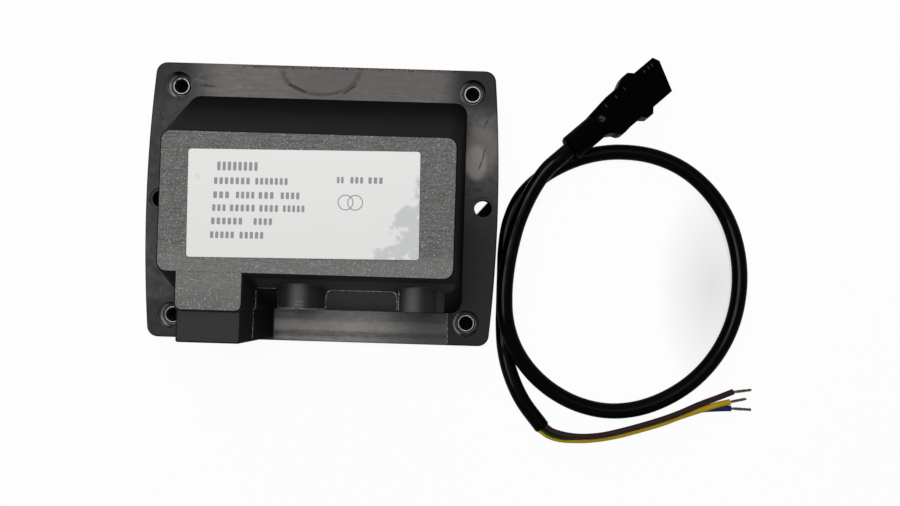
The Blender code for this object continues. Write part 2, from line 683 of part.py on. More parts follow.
def x_ring(x, half_y, half_z, radius):
    outline = rounded_rect((CORE_CENTRE_Y, COIL_AXIS_Z), (half_y, half_z), radius, 3)
    return [(x, y, z) for y, z in outline]


def build_bobbin(name, span):
    low, high = span
    wall = BOBBIN_WALL
    drum_y = BOBBIN_HOLE_HALF_Y + wall
    drum_z = BOBBIN_HOLE_HALF_Z + wall
    edge = COIL_EDGE
    rings = [x_ring(low, BOBBIN_FLANGE_HALF_Y, BOBBIN_FLANGE_HALF_Z, edge),
             x_ring(low + wall, BOBBIN_FLANGE_HALF_Y, BOBBIN_FLANGE_HALF_Z, edge),
             x_ring(low + wall, drum_y, drum_z, edge), x_ring(high - wall, drum_y, drum_z, edge),
             x_ring(high - wall, BOBBIN_FLANGE_HALF_Y, BOBBIN_FLANGE_HALF_Z, edge),
             x_ring(high, BOBBIN_FLANGE_HALF_Y, BOBBIN_FLANGE_HALF_Z, edge),
             x_ring(high, BOBBIN_HOLE_HALF_Y, BOBBIN_HOLE_HALF_Z, edge / 4),
             x_ring(low, BOBBIN_HOLE_HALF_Y, BOBBIN_HOLE_HALF_Z, edge / 4)]
    new_object(name, loft(name, rings, closed=True), BOBBIN_PLASTIC)


def winding_half(margin):
    """Outer half sizes of a winding that stays margin below its bobbin's flanges."""
    return BOBBIN_FLANGE_HALF_Y - margin, BOBBIN_FLANGE_HALF_Z - margin


def build_winding(name, span, margin):
    low = span[0] + BOBBIN_WALL + CLEARANCE
    high = span[1] - BOBBIN_WALL - CLEARANCE
    outer_y, outer_z = winding_half(margin)
    inner_y = BOBBIN_HOLE_HALF_Y + BOBBIN_WALL + CLEARANCE
    inner_z = BOBBIN_HOLE_HALF_Z + BOBBIN_WALL + CLEARANCE
    soft = min(outer_y - inner_y, outer_z - inner_z) / 2
    edge = COIL_EDGE
    rings = [x_ring(low, outer_y - edge, outer_z - edge, soft),
             x_ring(low + edge, outer_y, outer_z, soft),
             x_ring(high - edge, outer_y, outer_z, soft),
             x_ring(high, outer_y - edge, outer_z - edge, soft),
             x_ring(high, inner_y, inner_z, edge), x_ring(low, inner_y, inner_z, edge)]
    mesh = loft(name, rings, closed=True)
    smooth_round_faces(mesh)
    new_object(name, mesh, WINDING_COPPER)


def build_shunts():
    left, primary, right = coil_spans()
    slots = {"left": left[1], "right": primary[1]}
    for side, start in slots.items():
        for level, sign in (("upper", 1), ("lower", -1)):
            near = COIL_AXIS_Z + sign * (CORE_CENTRE_LIMB / 2 + CLEARANCE)
            far = COIL_AXIS_Z + sign * (CORE_CENTRE_LIMB / 2 + CORE_WINDOW - CLEARANCE)
            low = (start + CLEARANCE, CORE_LOW_Y, min(near, far))
            high = (start + CLEARANCE + SHUNT_THICKNESS, CORE_HIGH_Y, max(near, far))
            name = f"shunt_{side}_{level}"
            new_object(name, box(name, low, high), CORE_STEEL)


def build_coils():
    names = ("secondary_left", "primary", "secondary_right")
    for name, span in zip(names, coil_spans()):
        build_bobbin(f"{name}_bobbin", span)
        build_winding(f"{name}_winding", span,
                      PRIMARY_MARGIN if name == "primary" else SECONDARY_MARGIN)
    build_shunts()


# Inner leads

def inner_routes():
    """Centre lines of the leads inside. Their bends are multiples of the lead's own radius."""
    routes = {}
    left, primary, right = coil_spans()
    for side, x, span in zip(("left", "right"), HV_AXES_X, (left, right)):
        routes[f"hv_lead_{side}"] = hv_route(x, (span[0] + span[1]) / 2 + HV_LEAD_SHIFT)
    tabs = tab_places()
    length = primary[1] - primary[0]
    half_z = winding_half(PRIMARY_MARGIN)[1]
    routes["primary_lead_live"] = primary_route(
        tabs[0], primary[0] + 0.25 * length, COIL_AXIS_Z + 0.13 * half_z, 8.7 * PRIMARY_LEAD_RADIUS)
    routes["primary_lead_neutral"] = primary_route(
        tabs[2], primary[0] + 0.63 * length, COIL_AXIS_Z - 0.34 * half_z, 3.3 * PRIMARY_LEAD_RADIUS)
    routes["earth_lead"] = earth_route(tabs[1])
    return routes


def hv_route(x, first_x):
    """From the top of a secondary to the top of the pin stub at x."""
    r = HV_LEAD_RADIUS
    start_y = CORE_LOW_Y - LEAD_START
    start_z = COIL_AXIS_Z + winding_half(SECONDARY_MARGIN)[1] + r + CLEARANCE
    over = COIL_AXIS_Z + BOBBIN_FLANGE_HALF_Z + 2 * r
    end_y = HV_INNER_END_Y + HV_PIN_STUB / 2
    end_z = SOCKET_AXIS_Z + HV_PIN_RADIUS + CLEARANCE
    run = x - first_x
    return [(first_x, start_y, start_z), (first_x + 0.1 * run, start_y - 0.4 * r, over + 1.5 * r),
            (first_x + 0.5 * run, start_y - 1.8 * r, over + 3.8 * r),
            (x - 0.12 * run, end_y + 2 * r, end_z + 3.8 * r),
            (x, end_y, end_z + 2 * r), (x, end_y, end_z)]


def primary_route(x, arrive_x, arrive_z, lane):
    """From the back of the tab at x, along a lane of its own, to the front of the primary."""
    r = PRIMARY_LEAD_RADIUS
    leave_y = tab_inner_y() + CLEARANCE
    arrive_y = CORE_CENTRE_Y - winding_half(PRIMARY_MARGIN)[0] - CLEARANCE
    return [(x, leave_y, SOCKET_AXIS_Z), (x, leave_y + 2 * r, SOCKET_AXIS_Z - 0.2 * r),
            (x + 2.3 * r, leave_y + 3 * r + lane / 3, SOCKET_AXIS_Z - 5 * r),
            (x + 8.3 * r, leave_y + lane, arrive_z + 10 * r),
            (x + 18.3 * r, leave_y + lane, arrive_z + 1.7 * r),
            (arrive_x - 11.7 * r, leave_y + lane, arrive_z),
            (arrive_x - 1.7 * r, arrive_y - 4.3 * r, arrive_z),
            (arrive_x, arrive_y - 1.3 * r, arrive_z), (arrive_x, arrive_y, arrive_z)]


def earth_route(x):
    """From the back of the earth tab to the front of the upper limb of the core."""
    r = PRIMARY_LEAD_RADIUS
    leave_y = tab_inner_y() + CLEARANCE
    limb_z = COIL_AXIS_Z + CORE_HEIGHT / 2 - CORE_OUTER_LIMB / 2
    return [(x, leave_y, SOCKET_AXIS_Z), (x, leave_y + 2 * r, SOCKET_AXIS_Z + 0.2 * r),
            (x + 1.7 * r, leave_y + 8.3 * r, SOCKET_AXIS_Z + 4 * r),
            (x + 5 * r, CORE_LOW_Y - LEAD_START, limb_z), (x + 5 * r, CORE_LOW_Y - CLEARANCE, limb_z)]


def lead_radius(name):
    return HV_LEAD_RADIUS if name.startswith("hv") else PRIMARY_LEAD_RADIUS


def build_inner_leads():
    for name, route in inner_routes().items():
        lay_tube(name, route, lead_radius(name), 12, LEAD_PLASTIC)


# Potting resin

def build_resin():
    """Casting that fills the housing, with room for the core, the coils, the sockets and the leads."""
    gap = CLEARANCE
    low = RESIN_SET_BACK
    ceiling = HOUSING_HEIGHT - WALL - gap
    rings = [body_section(z, WALL + gap) for z in (low, FLANGE_THICKNESS, ceiling)]
    resin = new_object("potting_resin", loft("potting_resin", rings), RESIN_DARK)

    def add(name, mesh):
        boolean(resin, new_object(name, mesh, cutter=True), "UNION")

    def cut(name, mesh):
        boolean(resin, new_object(name, mesh, cutter=True), "DIFFERENCE")

    pocket_top = SOCKET_AXIS_Z - MAINS_WELL_HALF_Z - WALL - gap
    pocket_half = BLOCK_HALF_WIDTH - BLOCK_STEP_SIDE - BLOCK_CORE_WALL - gap
    pocket_low_y = BLOCK_END_Y + BLOCK_CORE_WALL + gap
    add("resin_block_form", box("resin_block_form", (BLOCK_X - pocket_half, pocket_low_y, low),
                                (BLOCK_X + pocket_half, front_wall_y(0.0) + 2.5 * WALL, pocket_top)))
    for index, x in enumerate(HV_AXES_X):
        cut(f"resin_hv_way_{index}", rod(f"resin_hv_way_{index}", HV_INNER_RADIUS + gap,
                                         (x, HV_TUBE_END_Y, SOCKET_AXIS_Z),
                                         (x, HV_INNER_END_Y + gap, SOCKET_AXIS_Z), 32))
        cut(f"resin_pin_way_{index}", rod(f"resin_pin_way_{index}", HV_PIN_RADIUS + gap,
                                          (x, HV_INNER_END_Y - WALL, SOCKET_AXIS_Z),
                                          (x, HV_INNER_END_Y + HV_PIN_STUB + gap, SOCKET_AXIS_Z), 20))
    for index, x in enumerate(tab_places()):
        cut(f"resin_tab_way_{index}", box(f"resin_tab_way_{index}",
                                          (x - TAB_THICKNESS / 2 - gap, MAINS_WELL_END_Y,
                                           SOCKET_AXIS_Z - TAB_WIDTH / 2 - gap),
                                          (x + TAB_THICKNESS / 2 + gap, tab_inner_y() + gap,
                                           SOCKET_AXIS_Z + TAB_WIDTH / 2 + gap)))
    cut("resin_core_room", box("resin_core_room",
                               (CORE_LOW_X - gap, CORE_LOW_Y - gap, low - WALL),
                               (CORE_HIGH_X + gap, CORE_HIGH_Y + gap, low + CORE_HEIGHT + gap)))
    left, primary, right = coil_spans()
    coil_outline = rounded_rect((CORE_CENTRE_Y, COIL_AXIS_Z),
                                (BOBBIN_FLANGE_HALF_Y + gap, BOBBIN_FLANGE_HALF_Z + gap), COIL_EDGE, 2)
    coil_rings = [[(x, y, z) for y, z in coil_outline] for x in (left[0] - gap, right[1] + gap)]
    cut("resin_coil_room", loft("resin_coil_room", coil_rings))
    for name, route in inner_routes().items():
        boolean(resin, tube_cutter(f"resin_way_{name}", route, lead_radius(name) + gap, 12),
                "DIFFERENCE")
    return resin


# Mains connector, built along local X from the cable end and then laid in its place

def connector_matrix():
    place = Matrix.Translation((FLANGE_SIDE_X + CONNECTOR_PLACE[0], *CONNECTOR_PLACE[1:]))
    heading = Matrix.Rotation(CONNECTOR_HEADING, 4, "Z")
    tilt = Matrix.Rotation(CONNECTOR_TILT, 4, "Y")
    offset = Matrix.Translation((0, -BOOT_OFFSET, 0))
    return place @ heading @ tilt @ offset


# Shoulders of the connector: distance along it from the flare's start, and inwards from its side
RIGHT_SHOULDER = ((0.0000, 0.0036), (0.0022, 0.0022), (0.0034, 0.0004), (0.0048, -0.0003),
                  (0.0062, -0.0003), (0.0090, 0.0000))
LEFT_SHOULDER = ((0.0092, 0.0000), (0.0000, 0.0011))

# Latches on the sides of the connector: distance along it, and outwards from its side
RIGHT_LUG = ((0.0290, 0.0000), (0.0311, 0.0018), (0.0335, 0.0019), (0.0354, 0.0000))
LEFT_LUG = ((0.0294, 0.0000), (0.0334, 0.0018), (0.0365, 0.0018), (0.0384, 0.0000))

# Corners of the tip: distance back from the end, and inwards from the side
RIGHT_TIP = (0.0042, 0.0000)
LEFT_TIP = ((0.0000, 0.0027), (0.0013, 0.0000))


def connector_outline():
    nose = CONNECTOR_NOSE_HALF
    end = CONNECTOR_LENGTH
    right = [(CONNECTOR_FLARE_X + along, inwards - nose) for along, inwards in RIGHT_SHOULDER]
    right += [(x, -nose - out) for x, out in RIGHT_LUG]
    right += [(end - RIGHT_TIP[0], RIGHT_TIP[1] - nose)]
    left = [(end - back, nose - inwards) for back, inwards in LEFT_TIP]
    left += [(x, nose + out) for x, out in reversed(LEFT_LUG)]
    left += [(CONNECTOR_FLARE_X + along, nose - inwards) for along, inwards in LEFT_SHOULDER]
    return right + left


def ring_across(x, y, half_y, half_z):
    """Square ring across the connector at x, about y."""
    return [(x, y + sy * half_y, sz * half_z) for sy, sz in ((1, -1), (1, 1), (-1, 1), (-1, -1))]


def build_connector():
    half = CONNECTOR_THICKNESS / 2
    slab = rounded_slab("mains_connector", connector_outline(), -half, half, CONNECTOR_EDGE)
    connector = new_object("mains_connector", slab, CORD_BLACK)
    boot = rod("boot_form", BOOT_RADIUS, (0, BOOT_OFFSET, 0), (BOOT_LENGTH, BOOT_OFFSET, 0), 28)
    round_edges(boot, BOOT_EDGE, 2)
    boolean(connector, new_object("boot_form", boot, cutter=True), "UNION")
    for index in (-1, 0, 1):
        y = index * TAB_PITCH
        slot_half_y = TAB_THICKNESS / 2 + CONTACT_WALL + 2 * CLEARANCE
        slot_half_z = TAB_WIDTH / 2 + CONTACT_WALL + 2 * CLEARANCE
        slot = box(f"contact_slot_{index + 1}", (CONNECTOR_LENGTH - CONTACT_SLOT_DEPTH, y - slot_half_y,
                                                 -slot_half_z),
                   (CONNECTOR_LENGTH + WALL, y + slot_half_y, slot_half_z))
        boolean(connector, new_object(f"contact_slot_{index + 1}", slot, cutter=True), "DIFFERENCE")
    lay = connector_matrix()
    for cutter in tools.objects:
        if any(step.object == cutter for step in connector.modifiers):
            cutter.matrix_world = lay
    connector.matrix_world = lay
    for index, name in zip((-1, 0, 1), ("live", "earth", "neutral")):
        y = index * TAB_PITCH
        back = CONNECTOR_LENGTH - CONTACT_SLOT_DEPTH + CLEARANCE
        inner = (TAB_THICKNESS / 2 + CLEARANCE, TAB_WIDTH / 2 + CLEARANCE)
        outer = (inner[0] + CONTACT_WALL, inner[1] + CONTACT_WALL)
        front = back + CONTACT_LENGTH
        rings = [ring_across(back, y, *outer), ring_across(front, y, *outer),
                 ring_across(front, y, *inner), ring_across(back, y, *inner)]
        sleeve_mesh = loft(f"contact_sleeve_{name}", rings, closed=True)
        sleeve = new_object(f"contact_sleeve_{name}", sleeve_mesh, TERMINAL_BRASS)
        sleeve.matrix_world = lay


# Mains lead: centre lines from the connector to the bare ends, with X from the flange's right side

def beside_flange(points):
    return [Vector((FLANGE_SIDE_X + x, y, z)) for x, y, z in points]


def sheath_route():
    lay = connector_matrix()
    start = lay @ Vector((-2 * CLEARANCE, BOOT_OFFSET, 0))
    straight = lay @ Vector((-SHEATH_DIAMETER, BOOT_OFFSET, 0))
    free = [(0.0185, 0.0158, 0.0110), (0.0148, 0.0105, 0.0102),
            (0.0114, 0.0040, 0.0093), (0.0080, -0.0045, 0.0093),
            (0.0057, -0.0135, 0.0093), (0.0041, -0.0235, 0.0093), (0.0036, -0.0335, 0.0092),
            (0.0045, -0.0430, 0.0086), (0.0080, -0.0530, 0.0070), (0.0145, -0.0622, 0.0045),
            (0.0231, -0.0695, 0.0032), (0.0333, -0.0745, 0.0031), (0.0447, -0.0767, 0.0031),
            (0.0563, -0.0755, 0.0031), (0.0678, -0.0710, 0.0031), (0.0783, -0.0636, 0.0031),
            (0.0868, -0.0535, 0.0031), (0.0926, -0.0410, 0.0031), (0.0949, -0.0270, 0.0031),
            (0.0938, -0.0135, 0.0031), (0.0893, -0.0005, 0.0031), (0.0818, 0.0100, 0.0031),
            (0.0718, 0.0181, 0.0031), (0.0598, 0.0228, 0.0031), (0.0464, 0.0240, 0.0031),
            (0.0348, 0.0222, 0.0031), (0.0243, 0.0180, 0.0031), (0.0153, 0.0120, 0.0031),
            (0.0087, 0.0045, 0.0031), (0.0049, -0.0050, 0.0031), (0.0036, -0.0150, 0.0031),
            (0.0035, -0.0250, 0.0031), (0.0035, -0.0350, 0.0031), (0.0036, -0.0450, 0.0031),
            (0.0045, -0.0545, 0.0031), (0.0071, -0.0640, 0.0031), (0.0118, -0.0736, 0.0031),
            (0.0196, -0.0836, 0.0031)]
    return [start, straight] + beside_flange(free)


CORE_ROUTES = {
    "brown": [(0.0208, -0.0831, 0.0038), (0.0233, -0.0849, 0.0039), (0.0270, -0.0860, 0.0045),
              (0.0316, -0.0866, 0.0053), (0.0367, -0.0866, 0.0056), (0.0431, -0.0858, 0.0056),
              (0.0496, -0.0842, 0.0056), (0.0570, -0.0820, 0.0056), (0.0649, -0.0794, 0.0056),
              (0.0723, -0.0765, 0.0056), (0.0801, -0.0730, 0.0049), (0.0869, -0.0705, 0.0036),
              (0.0935, -0.0680, 0.0022)],
    "green_yellow": [(0.0188, -0.0847, 0.0038), (0.0221, -0.0869, 0.0038), (0.0268, -0.0882, 0.0037),
                     (0.0318, -0.0884, 0.0037), (0.0369, -0.0882, 0.0037), (0.0436, -0.0873, 0.0037),
                     (0.0502, -0.0858, 0.0037), (0.0579, -0.0835, 0.0037), (0.0659, -0.0809, 0.0037),
                     (0.0736, -0.0778, 0.0037), (0.0806, -0.0753, 0.0037), (0.0868, -0.0733, 0.0030),
                     (0.0924, -0.0720, 0.0019)],
    "blue": [(0.0198, -0.0840, 0.0015), (0.0228, -0.0860, 0.0014), (0.0270, -0.0874, 0.0013),
             (0.0318, -0.0881, 0.0013), (0.0370, -0.0880, 0.0013), (0.0434, -0.0872, 0.0013),
             (0.0501, -0.0856, 0.0013), (0.0576, -0.0834, 0.0013), (0.0654, -0.0809, 0.0013),
             (0.0732, -0.0778, 0.0013), (0.0811, -0.0755, 0.0013), (0.0875, -0.0748, 0.0013),
             (0.0930, -0.0745, 0.0013)],
}
STRAND_TIPS = {"brown": (0.1009, -0.0671, 0.0013), "green_yellow": (0.0990, -0.0706, 0.0014),
               "blue": (0.1010, -0.0748, 0.0012)}
CORE_COLOURS = {"brown": CORE_BROWN, "green_yellow": CORE_YELLOW, "blue": CORE_BLUE}


def build_lead():
    lay_tube("lead_sheath", sheath_route(), SHEATH_DIAMETER / 2, SHEATH_POINTS, CORD_BLACK, 3)
    for name, points in CORE_ROUTES.items():
        route = beside_flange(points)
        lay_tube(f"core_{name}", route, CORE_DIAMETER / 2, CORE_POINTS, CORE_COLOURS[name])
        end, tip = route[-1], beside_flange([STRAND_TIPS[name]])[0]
        start = end + (tip - end).normalized() * CLEARANCE
        strands = rod(f"strands_{name}", STRAND_DIAMETER / 2, start, tip, 10, STRAND_DIAMETER / 2 * 0.7)
        smooth_round_faces(strands)
        new_object(f"strands_{name}", strands, STRAND_COPPER)


build_housing()
build_label()
build_fixings()
build_terminals()
build_core()
build_coils()
build_inner_leads()
build_resin()
build_connector()
build_lead()
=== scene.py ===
import math
from collections import namedtuple

import bpy
import numpy as np
from mathutils import Matrix, Vector


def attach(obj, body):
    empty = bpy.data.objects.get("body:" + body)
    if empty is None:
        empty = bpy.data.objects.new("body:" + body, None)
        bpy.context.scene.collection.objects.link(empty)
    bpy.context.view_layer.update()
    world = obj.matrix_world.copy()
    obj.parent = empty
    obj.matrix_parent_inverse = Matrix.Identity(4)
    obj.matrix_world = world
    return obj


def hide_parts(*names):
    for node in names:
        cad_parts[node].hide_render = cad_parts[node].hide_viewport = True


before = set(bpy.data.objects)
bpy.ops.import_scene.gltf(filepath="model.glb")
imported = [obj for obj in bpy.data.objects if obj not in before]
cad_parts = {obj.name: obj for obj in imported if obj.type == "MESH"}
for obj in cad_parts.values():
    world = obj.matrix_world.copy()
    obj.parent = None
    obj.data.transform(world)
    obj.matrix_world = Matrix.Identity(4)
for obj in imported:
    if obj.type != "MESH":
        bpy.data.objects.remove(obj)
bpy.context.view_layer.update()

MM = 0.001

# Camera, above the transformer and a little to the right of its label

camera_data = bpy.data.cameras.new("camera")
camera_data.sensor_width = 36.0
camera_data.lens = 43.12
camera_data.clip_start = 0.01
camera = bpy.data.objects.new("camera", camera_data)
camera.location = (0.05240, -0.02879, 0.42309)
camera.rotation_euler = (0.0274, 0.0055, 0.0302)
bpy.context.scene.collection.objects.link(camera)
bpy.context.scene.camera = camera
bpy.context.scene.view_settings.view_transform = "Standard"


# Surfaces worked out as whole arrays

def unit(vectors):
    return vectors / np.linalg.norm(vectors, axis=-1, keepdims=True)


def run_along(points):
    """Distance along a path at each of its points."""
    return np.concatenate(([0.0], np.cumsum(np.linalg.norm(np.diff(points, axis=0), axis=1))))


def smooth_path(route, count, steps=40):
    """Evenly spaced points on the centripetal Catmull-Rom curve through the route.

    Between two route points the curve is the cubic that has their places and, at each, the slope
    given by its neighbours, with knots a square root of the chord apart.
    """
    route = np.asarray(route, float)
    points = np.concatenate((2 * route[:1] - route[1:2], route, 2 * route[-1:] - route[-2:-1]))
    chords = np.linalg.norm(np.diff(points, axis=0), axis=1)
    knots = np.concatenate(([0.0], np.cumsum(chords ** 0.5)))
    t = np.linspace(knots[1], knots[-2], steps * len(route))
    at = np.clip(np.searchsorted(knots, t, side="right") - 1, 1, len(route) - 1)
    p0, p1, p2, p3 = (points[at + k] for k in (-1, 0, 1, 2))
    k0, k1, k2, k3 = (knots[at + k][:, None] for k in (-1, 0, 1, 2))
    t = t[:, None]

    def between(p, q, start, end):
        return (p * (end - t) + q * (t - start)) / (end - start)

    a1, a2, a3 = between(p0, p1, k0, k1), between(p1, p2, k1, k2), between(p2, p3, k2, k3)
    dense = between(between(a1, a2, k0, k2), between(a2, a3, k1, k3), k1, k2)
    run = run_along(dense)
    even = np.linspace(0.0, run[-1], count)
    return np.stack([np.interp(even, run, dense[:, i]) for i in range(3)], axis=1)


def frames_along(points):
    """Unit side and up vectors at each point, across the path. The up vector leans to +Z."""
    along = unit(np.gradient(points, axis=0))
    side = unit(np.cross(along, (0.0, 0.0, 1.0)))
    return side, np.cross(side, along)


def grid_faces(rows, columns):
    """Quads of a grid that closes on itself round each row, with its two end rows capped."""
    i, j = np.meshgrid(np.arange(rows - 1), np.arange(columns), indexing="ij")
    k = (j + 1) % columns
    quads = np.stack((i * columns + j, (i + 1) * columns + j, (i + 1) * columns + k, i * columns + k), -1)
    caps = [list(range(columns)), list(range(rows * columns - 1, (rows - 1) * columns - 1, -1))]
    return quads.reshape(-1, 4).tolist() + caps


def add_piece(name, verts, faces, smooth=True):
    """Put an array of corners and a list of faces into a piece that rides on the body."""
    mesh = bpy.data.meshes.new(name)
    mesh.from_pydata(np.asarray(verts, float).tolist(), [], faces)
    mesh.validate()
    mesh.update()
    if smooth:
        mesh.shade_smooth()
    piece = bpy.data.objects.new(name, mesh)
    bpy.context.scene.collection.objects.link(piece)
    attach(piece, "root")
    return piece


CUT_ROUNDING = 0.18
CUT_TURNS = np.radians((80.0, 60.0, 40.0, 20.0))


def tube_surface(points, radius, sides):
    """Corners, faces and grid of a tube: point plus radius times (cos a side + sin a up), a round the path.

    At each end the rings follow a quarter circle, a share of the radius in size, and the last one is
    capped by a face.
    """
    side, up = frames_along(points)
    first, last = unit(points[1] - points[0]), unit(points[-1] - points[-2])
    past_end = (radius * CUT_ROUNDING * np.sin(CUT_TURNS))[:, None]
    shrunk = radius * (1 - CUT_ROUNDING + CUT_ROUNDING * np.cos(CUT_TURNS))
    radii = np.concatenate((shrunk, np.full(len(points), radius), shrunk[::-1]))
    points = np.concatenate((points[0] - first * past_end, points, points[-1] + last * past_end[::-1]))
    side, up = (np.concatenate((v[:1].repeat(len(CUT_TURNS), 0), v, v[-1:].repeat(len(CUT_TURNS), 0)))
                for v in (side, up))
    angle = np.linspace(0, 2 * math.pi, sides, endpoint=False)
    ring = np.cos(angle)[None, :, None] * side[:, None] + np.sin(angle)[None, :, None] * up[:, None]
    verts = points[:, None] + radii[:, None, None] * ring
    return verts.reshape(-1, 3), grid_faces(len(points), sides), (len(points), sides)


def turned_surface(name, centre, profile, sides):
    """Ring turned about Z: each profile corner (r, z) goes round as (r cos a, r sin a, z)."""
    profile = np.asarray(profile, float)
    angle = np.linspace(0, 2 * math.pi, sides, endpoint=False)
    x = centre[0] + profile[:, :1] * np.cos(angle)
    y = centre[1] + profile[:, :1] * np.sin(angle)
    z = np.broadcast_to(profile[:, 1:], x.shape)
    rows = len(profile)
    i, j = np.meshgrid(np.arange(rows), np.arange(sides), indexing="ij")
    down, right = (i + 1) % rows, (j + 1) % sides
    quads = np.stack((i * sides + j, i * sides + right, down * sides + right, down * sides + j), -1)
    piece = add_piece(name, np.stack((x, y, z), -1).reshape(-1, 3), quads.reshape(-1, 4).tolist())
    piece.data.set_sharp_from_angle(angle=math.radians(40))
    return piece


def ridge(name, route, width, height, normal, count):
    """Oval rib sunk to its middle in a face: route plus width / 2 cos(t) across plus height sin(t) outwards.

    Its size swells along the rib by two sine waves, and shrinks to a seventh at its ends.
    """
    path = smooth_path(route, count)
    along = unit(np.gradient(path, axis=0))
    out = np.broadcast_to(np.asarray(normal, float), path.shape)
    out = unit(out - (out * along).sum(1, keepdims=True) * along)
    across = np.cross(out, along)
    run = np.linspace(0.0, run_along(path)[-1], count)[:, None, None] / MM
    swell = 1 + 0.22 * np.sin(2.3 * run) + 0.16 * np.sin(5.1 * run + 1.0)
    ends = np.clip(np.minimum(run, run[-1] - run) / 0.5, 0.15, 1.0)
    sides = 10
    t = np.linspace(0, 2 * math.pi, sides, endpoint=False)[None, :, None]
    verts = path[:, None] + swell * ends * (width / 2 * np.cos(t) * across[:, None]
                                            + height * np.sin(t) * out[:, None])
    return add_piece(name, verts.reshape(-1, 3), grid_faces(count, sides))


# The mains lead, on the centre lines of its solids

FLANGE_SIDE_X = 0.0677
CONNECTOR_PLACE = (FLANGE_SIDE_X + 0.0268, 0.0235, 0.0108)
CONNECTOR_HEADING = math.radians(42.3)
CONNECTOR_TILT = math.radians(7.9)
CONNECTOR_TOP = 0.0040
BOOT_OFFSET = 0.0011
BOOT_REACHES = (-0.0006, -0.0060)
SHEATH_DIAMETER = 0.0060
SHEATH_GRID = (420, 28)
CORE_DIAMETER = 0.0023
CORE_GRID = (140, 18)

connector_lay = (Matrix.Translation(CONNECTOR_PLACE) @ Matrix.Rotation(CONNECTOR_HEADING, 4, "Z")
                 @ Matrix.Rotation(CONNECTOR_TILT, 4, "Y") @ Matrix.Translation((0, -BOOT_OFFSET, 0)))

# Routes are given from the flange's right side, so that the lead stays clear of it
SHEATH_FREE = [
    (0.0185, 0.0158, 0.0110), (0.0148, 0.0105, 0.0102), (0.0114, 0.0040, 0.0093),
    (0.0080, -0.0045, 0.0093), (0.0057, -0.0135, 0.0093), (0.0041, -0.0235, 0.0093),
    (0.0036, -0.0335, 0.0092), (0.0045, -0.0430, 0.0086), (0.0080, -0.0530, 0.0070),
    (0.0145, -0.0622, 0.0045), (0.0231, -0.0695, 0.0032), (0.0333, -0.0745, 0.0031),
    (0.0447, -0.0767, 0.0031), (0.0563, -0.0755, 0.0031), (0.0678, -0.0710, 0.0031),
    (0.0783, -0.0636, 0.0031), (0.0868, -0.0535, 0.0031), (0.0926, -0.0410, 0.0031),
    (0.0949, -0.0270, 0.0031), (0.0938, -0.0135, 0.0031), (0.0893, -0.0005, 0.0031),
    (0.0818, 0.0100, 0.0031), (0.0718, 0.0181, 0.0031), (0.0598, 0.0228, 0.0031),
    (0.0464, 0.0240, 0.0031), (0.0348, 0.0222, 0.0031), (0.0243, 0.0180, 0.0031),
    (0.0153, 0.0120, 0.0031), (0.0087, 0.0045, 0.0031), (0.0049, -0.0050, 0.0031),
    (0.0036, -0.0150, 0.0031), (0.0035, -0.0250, 0.0031), (0.0035, -0.0350, 0.0031),
    (0.0036, -0.0450, 0.0031), (0.0045, -0.0545, 0.0031), (0.0071, -0.0640, 0.0031),
    (0.0118, -0.0736, 0.0031), (0.0196, -0.0836, 0.0031)]

CORE_ROUTES = {
    "brown": [(0.0208, -0.0831, 0.0038), (0.0233, -0.0849, 0.0039), (0.0270, -0.0860, 0.0045),
              (0.0316, -0.0866, 0.0053), (0.0367, -0.0866, 0.0056), (0.0431, -0.0858, 0.0056),
              (0.0496, -0.0842, 0.0056), (0.0570, -0.0820, 0.0056), (0.0649, -0.0794, 0.0056),
              (0.0723, -0.0765, 0.0056), (0.0801, -0.0730, 0.0049), (0.0869, -0.0705, 0.0036),
              (0.0935, -0.0680, 0.0022)],
    "green_yellow": [(0.0188, -0.0847, 0.0038), (0.0221, -0.0869, 0.0038), (0.0268, -0.0882, 0.0037),
                     (0.0318, -0.0884, 0.0037), (0.0369, -0.0882, 0.0037), (0.0436, -0.0873, 0.0037),
                     (0.0502, -0.0858, 0.0037), (0.0579, -0.0835, 0.0037), (0.0659, -0.0809, 0.0037),
                     (0.0736, -0.0778, 0.0037), (0.0806, -0.0753, 0.0037), (0.0868, -0.0733, 0.0030),
                     (0.0924, -0.0720, 0.0019)],
    "blue": [(0.0198, -0.0840, 0.0015), (0.0228, -0.0860, 0.0014), (0.0270, -0.0874, 0.0013),
             (0.0318, -0.0881, 0.0013), (0.0370, -0.0880, 0.0013), (0.0434, -0.0872, 0.0013),
             (0.0501, -0.0856, 0.0013), (0.0576, -0.0834, 0.0013), (0.0654, -0.0809, 0.0013),
             (0.0732, -0.0778, 0.0013), (0.0811, -0.0755, 0.0013), (0.0875, -0.0748, 0.0013),
             (0.0930, -0.0745, 0.0013)],
}


def beside_flange(points):
    return np.asarray(points, float) + (FLANGE_SIDE_X, 0.0, 0.0)


def add_uv(piece, shape, length, diameter):
    """UV map in millimetres: U along the cord, V round it, carried on past the seam of each ring."""
    rows, columns = shape
    mesh = piece.data
    loops = np.empty(len(mesh.loops), dtype=np.int32)
    mesh.loops.foreach_get("vertex_index", loops)
    first = np.empty(len(mesh.polygons), dtype=np.int32)
    total_corners = np.empty(len(mesh.polygons), dtype=np.int32)
    mesh.polygons.foreach_get("loop_start", first)
    mesh.polygons.foreach_get("loop_total", total_corners)
    along = np.repeat(np.linspace(0.0, length, rows), columns)
    column = (loops % columns).astype(float)
    corners = first[total_corners == 4][:, None] + np.arange(4)
    around = column[corners]
    on_seam = (around.max(1) == columns - 1) & (around.min(1) == 0)
    column[corners[on_seam[:, None] & (around == 0)]] = columns
    uv = np.stack((along[loops] / MM, column / columns * math.pi * diameter / MM), 1)
    mesh.uv_layers.new(name="UVMap").data.foreach_set("uv", uv.ravel())


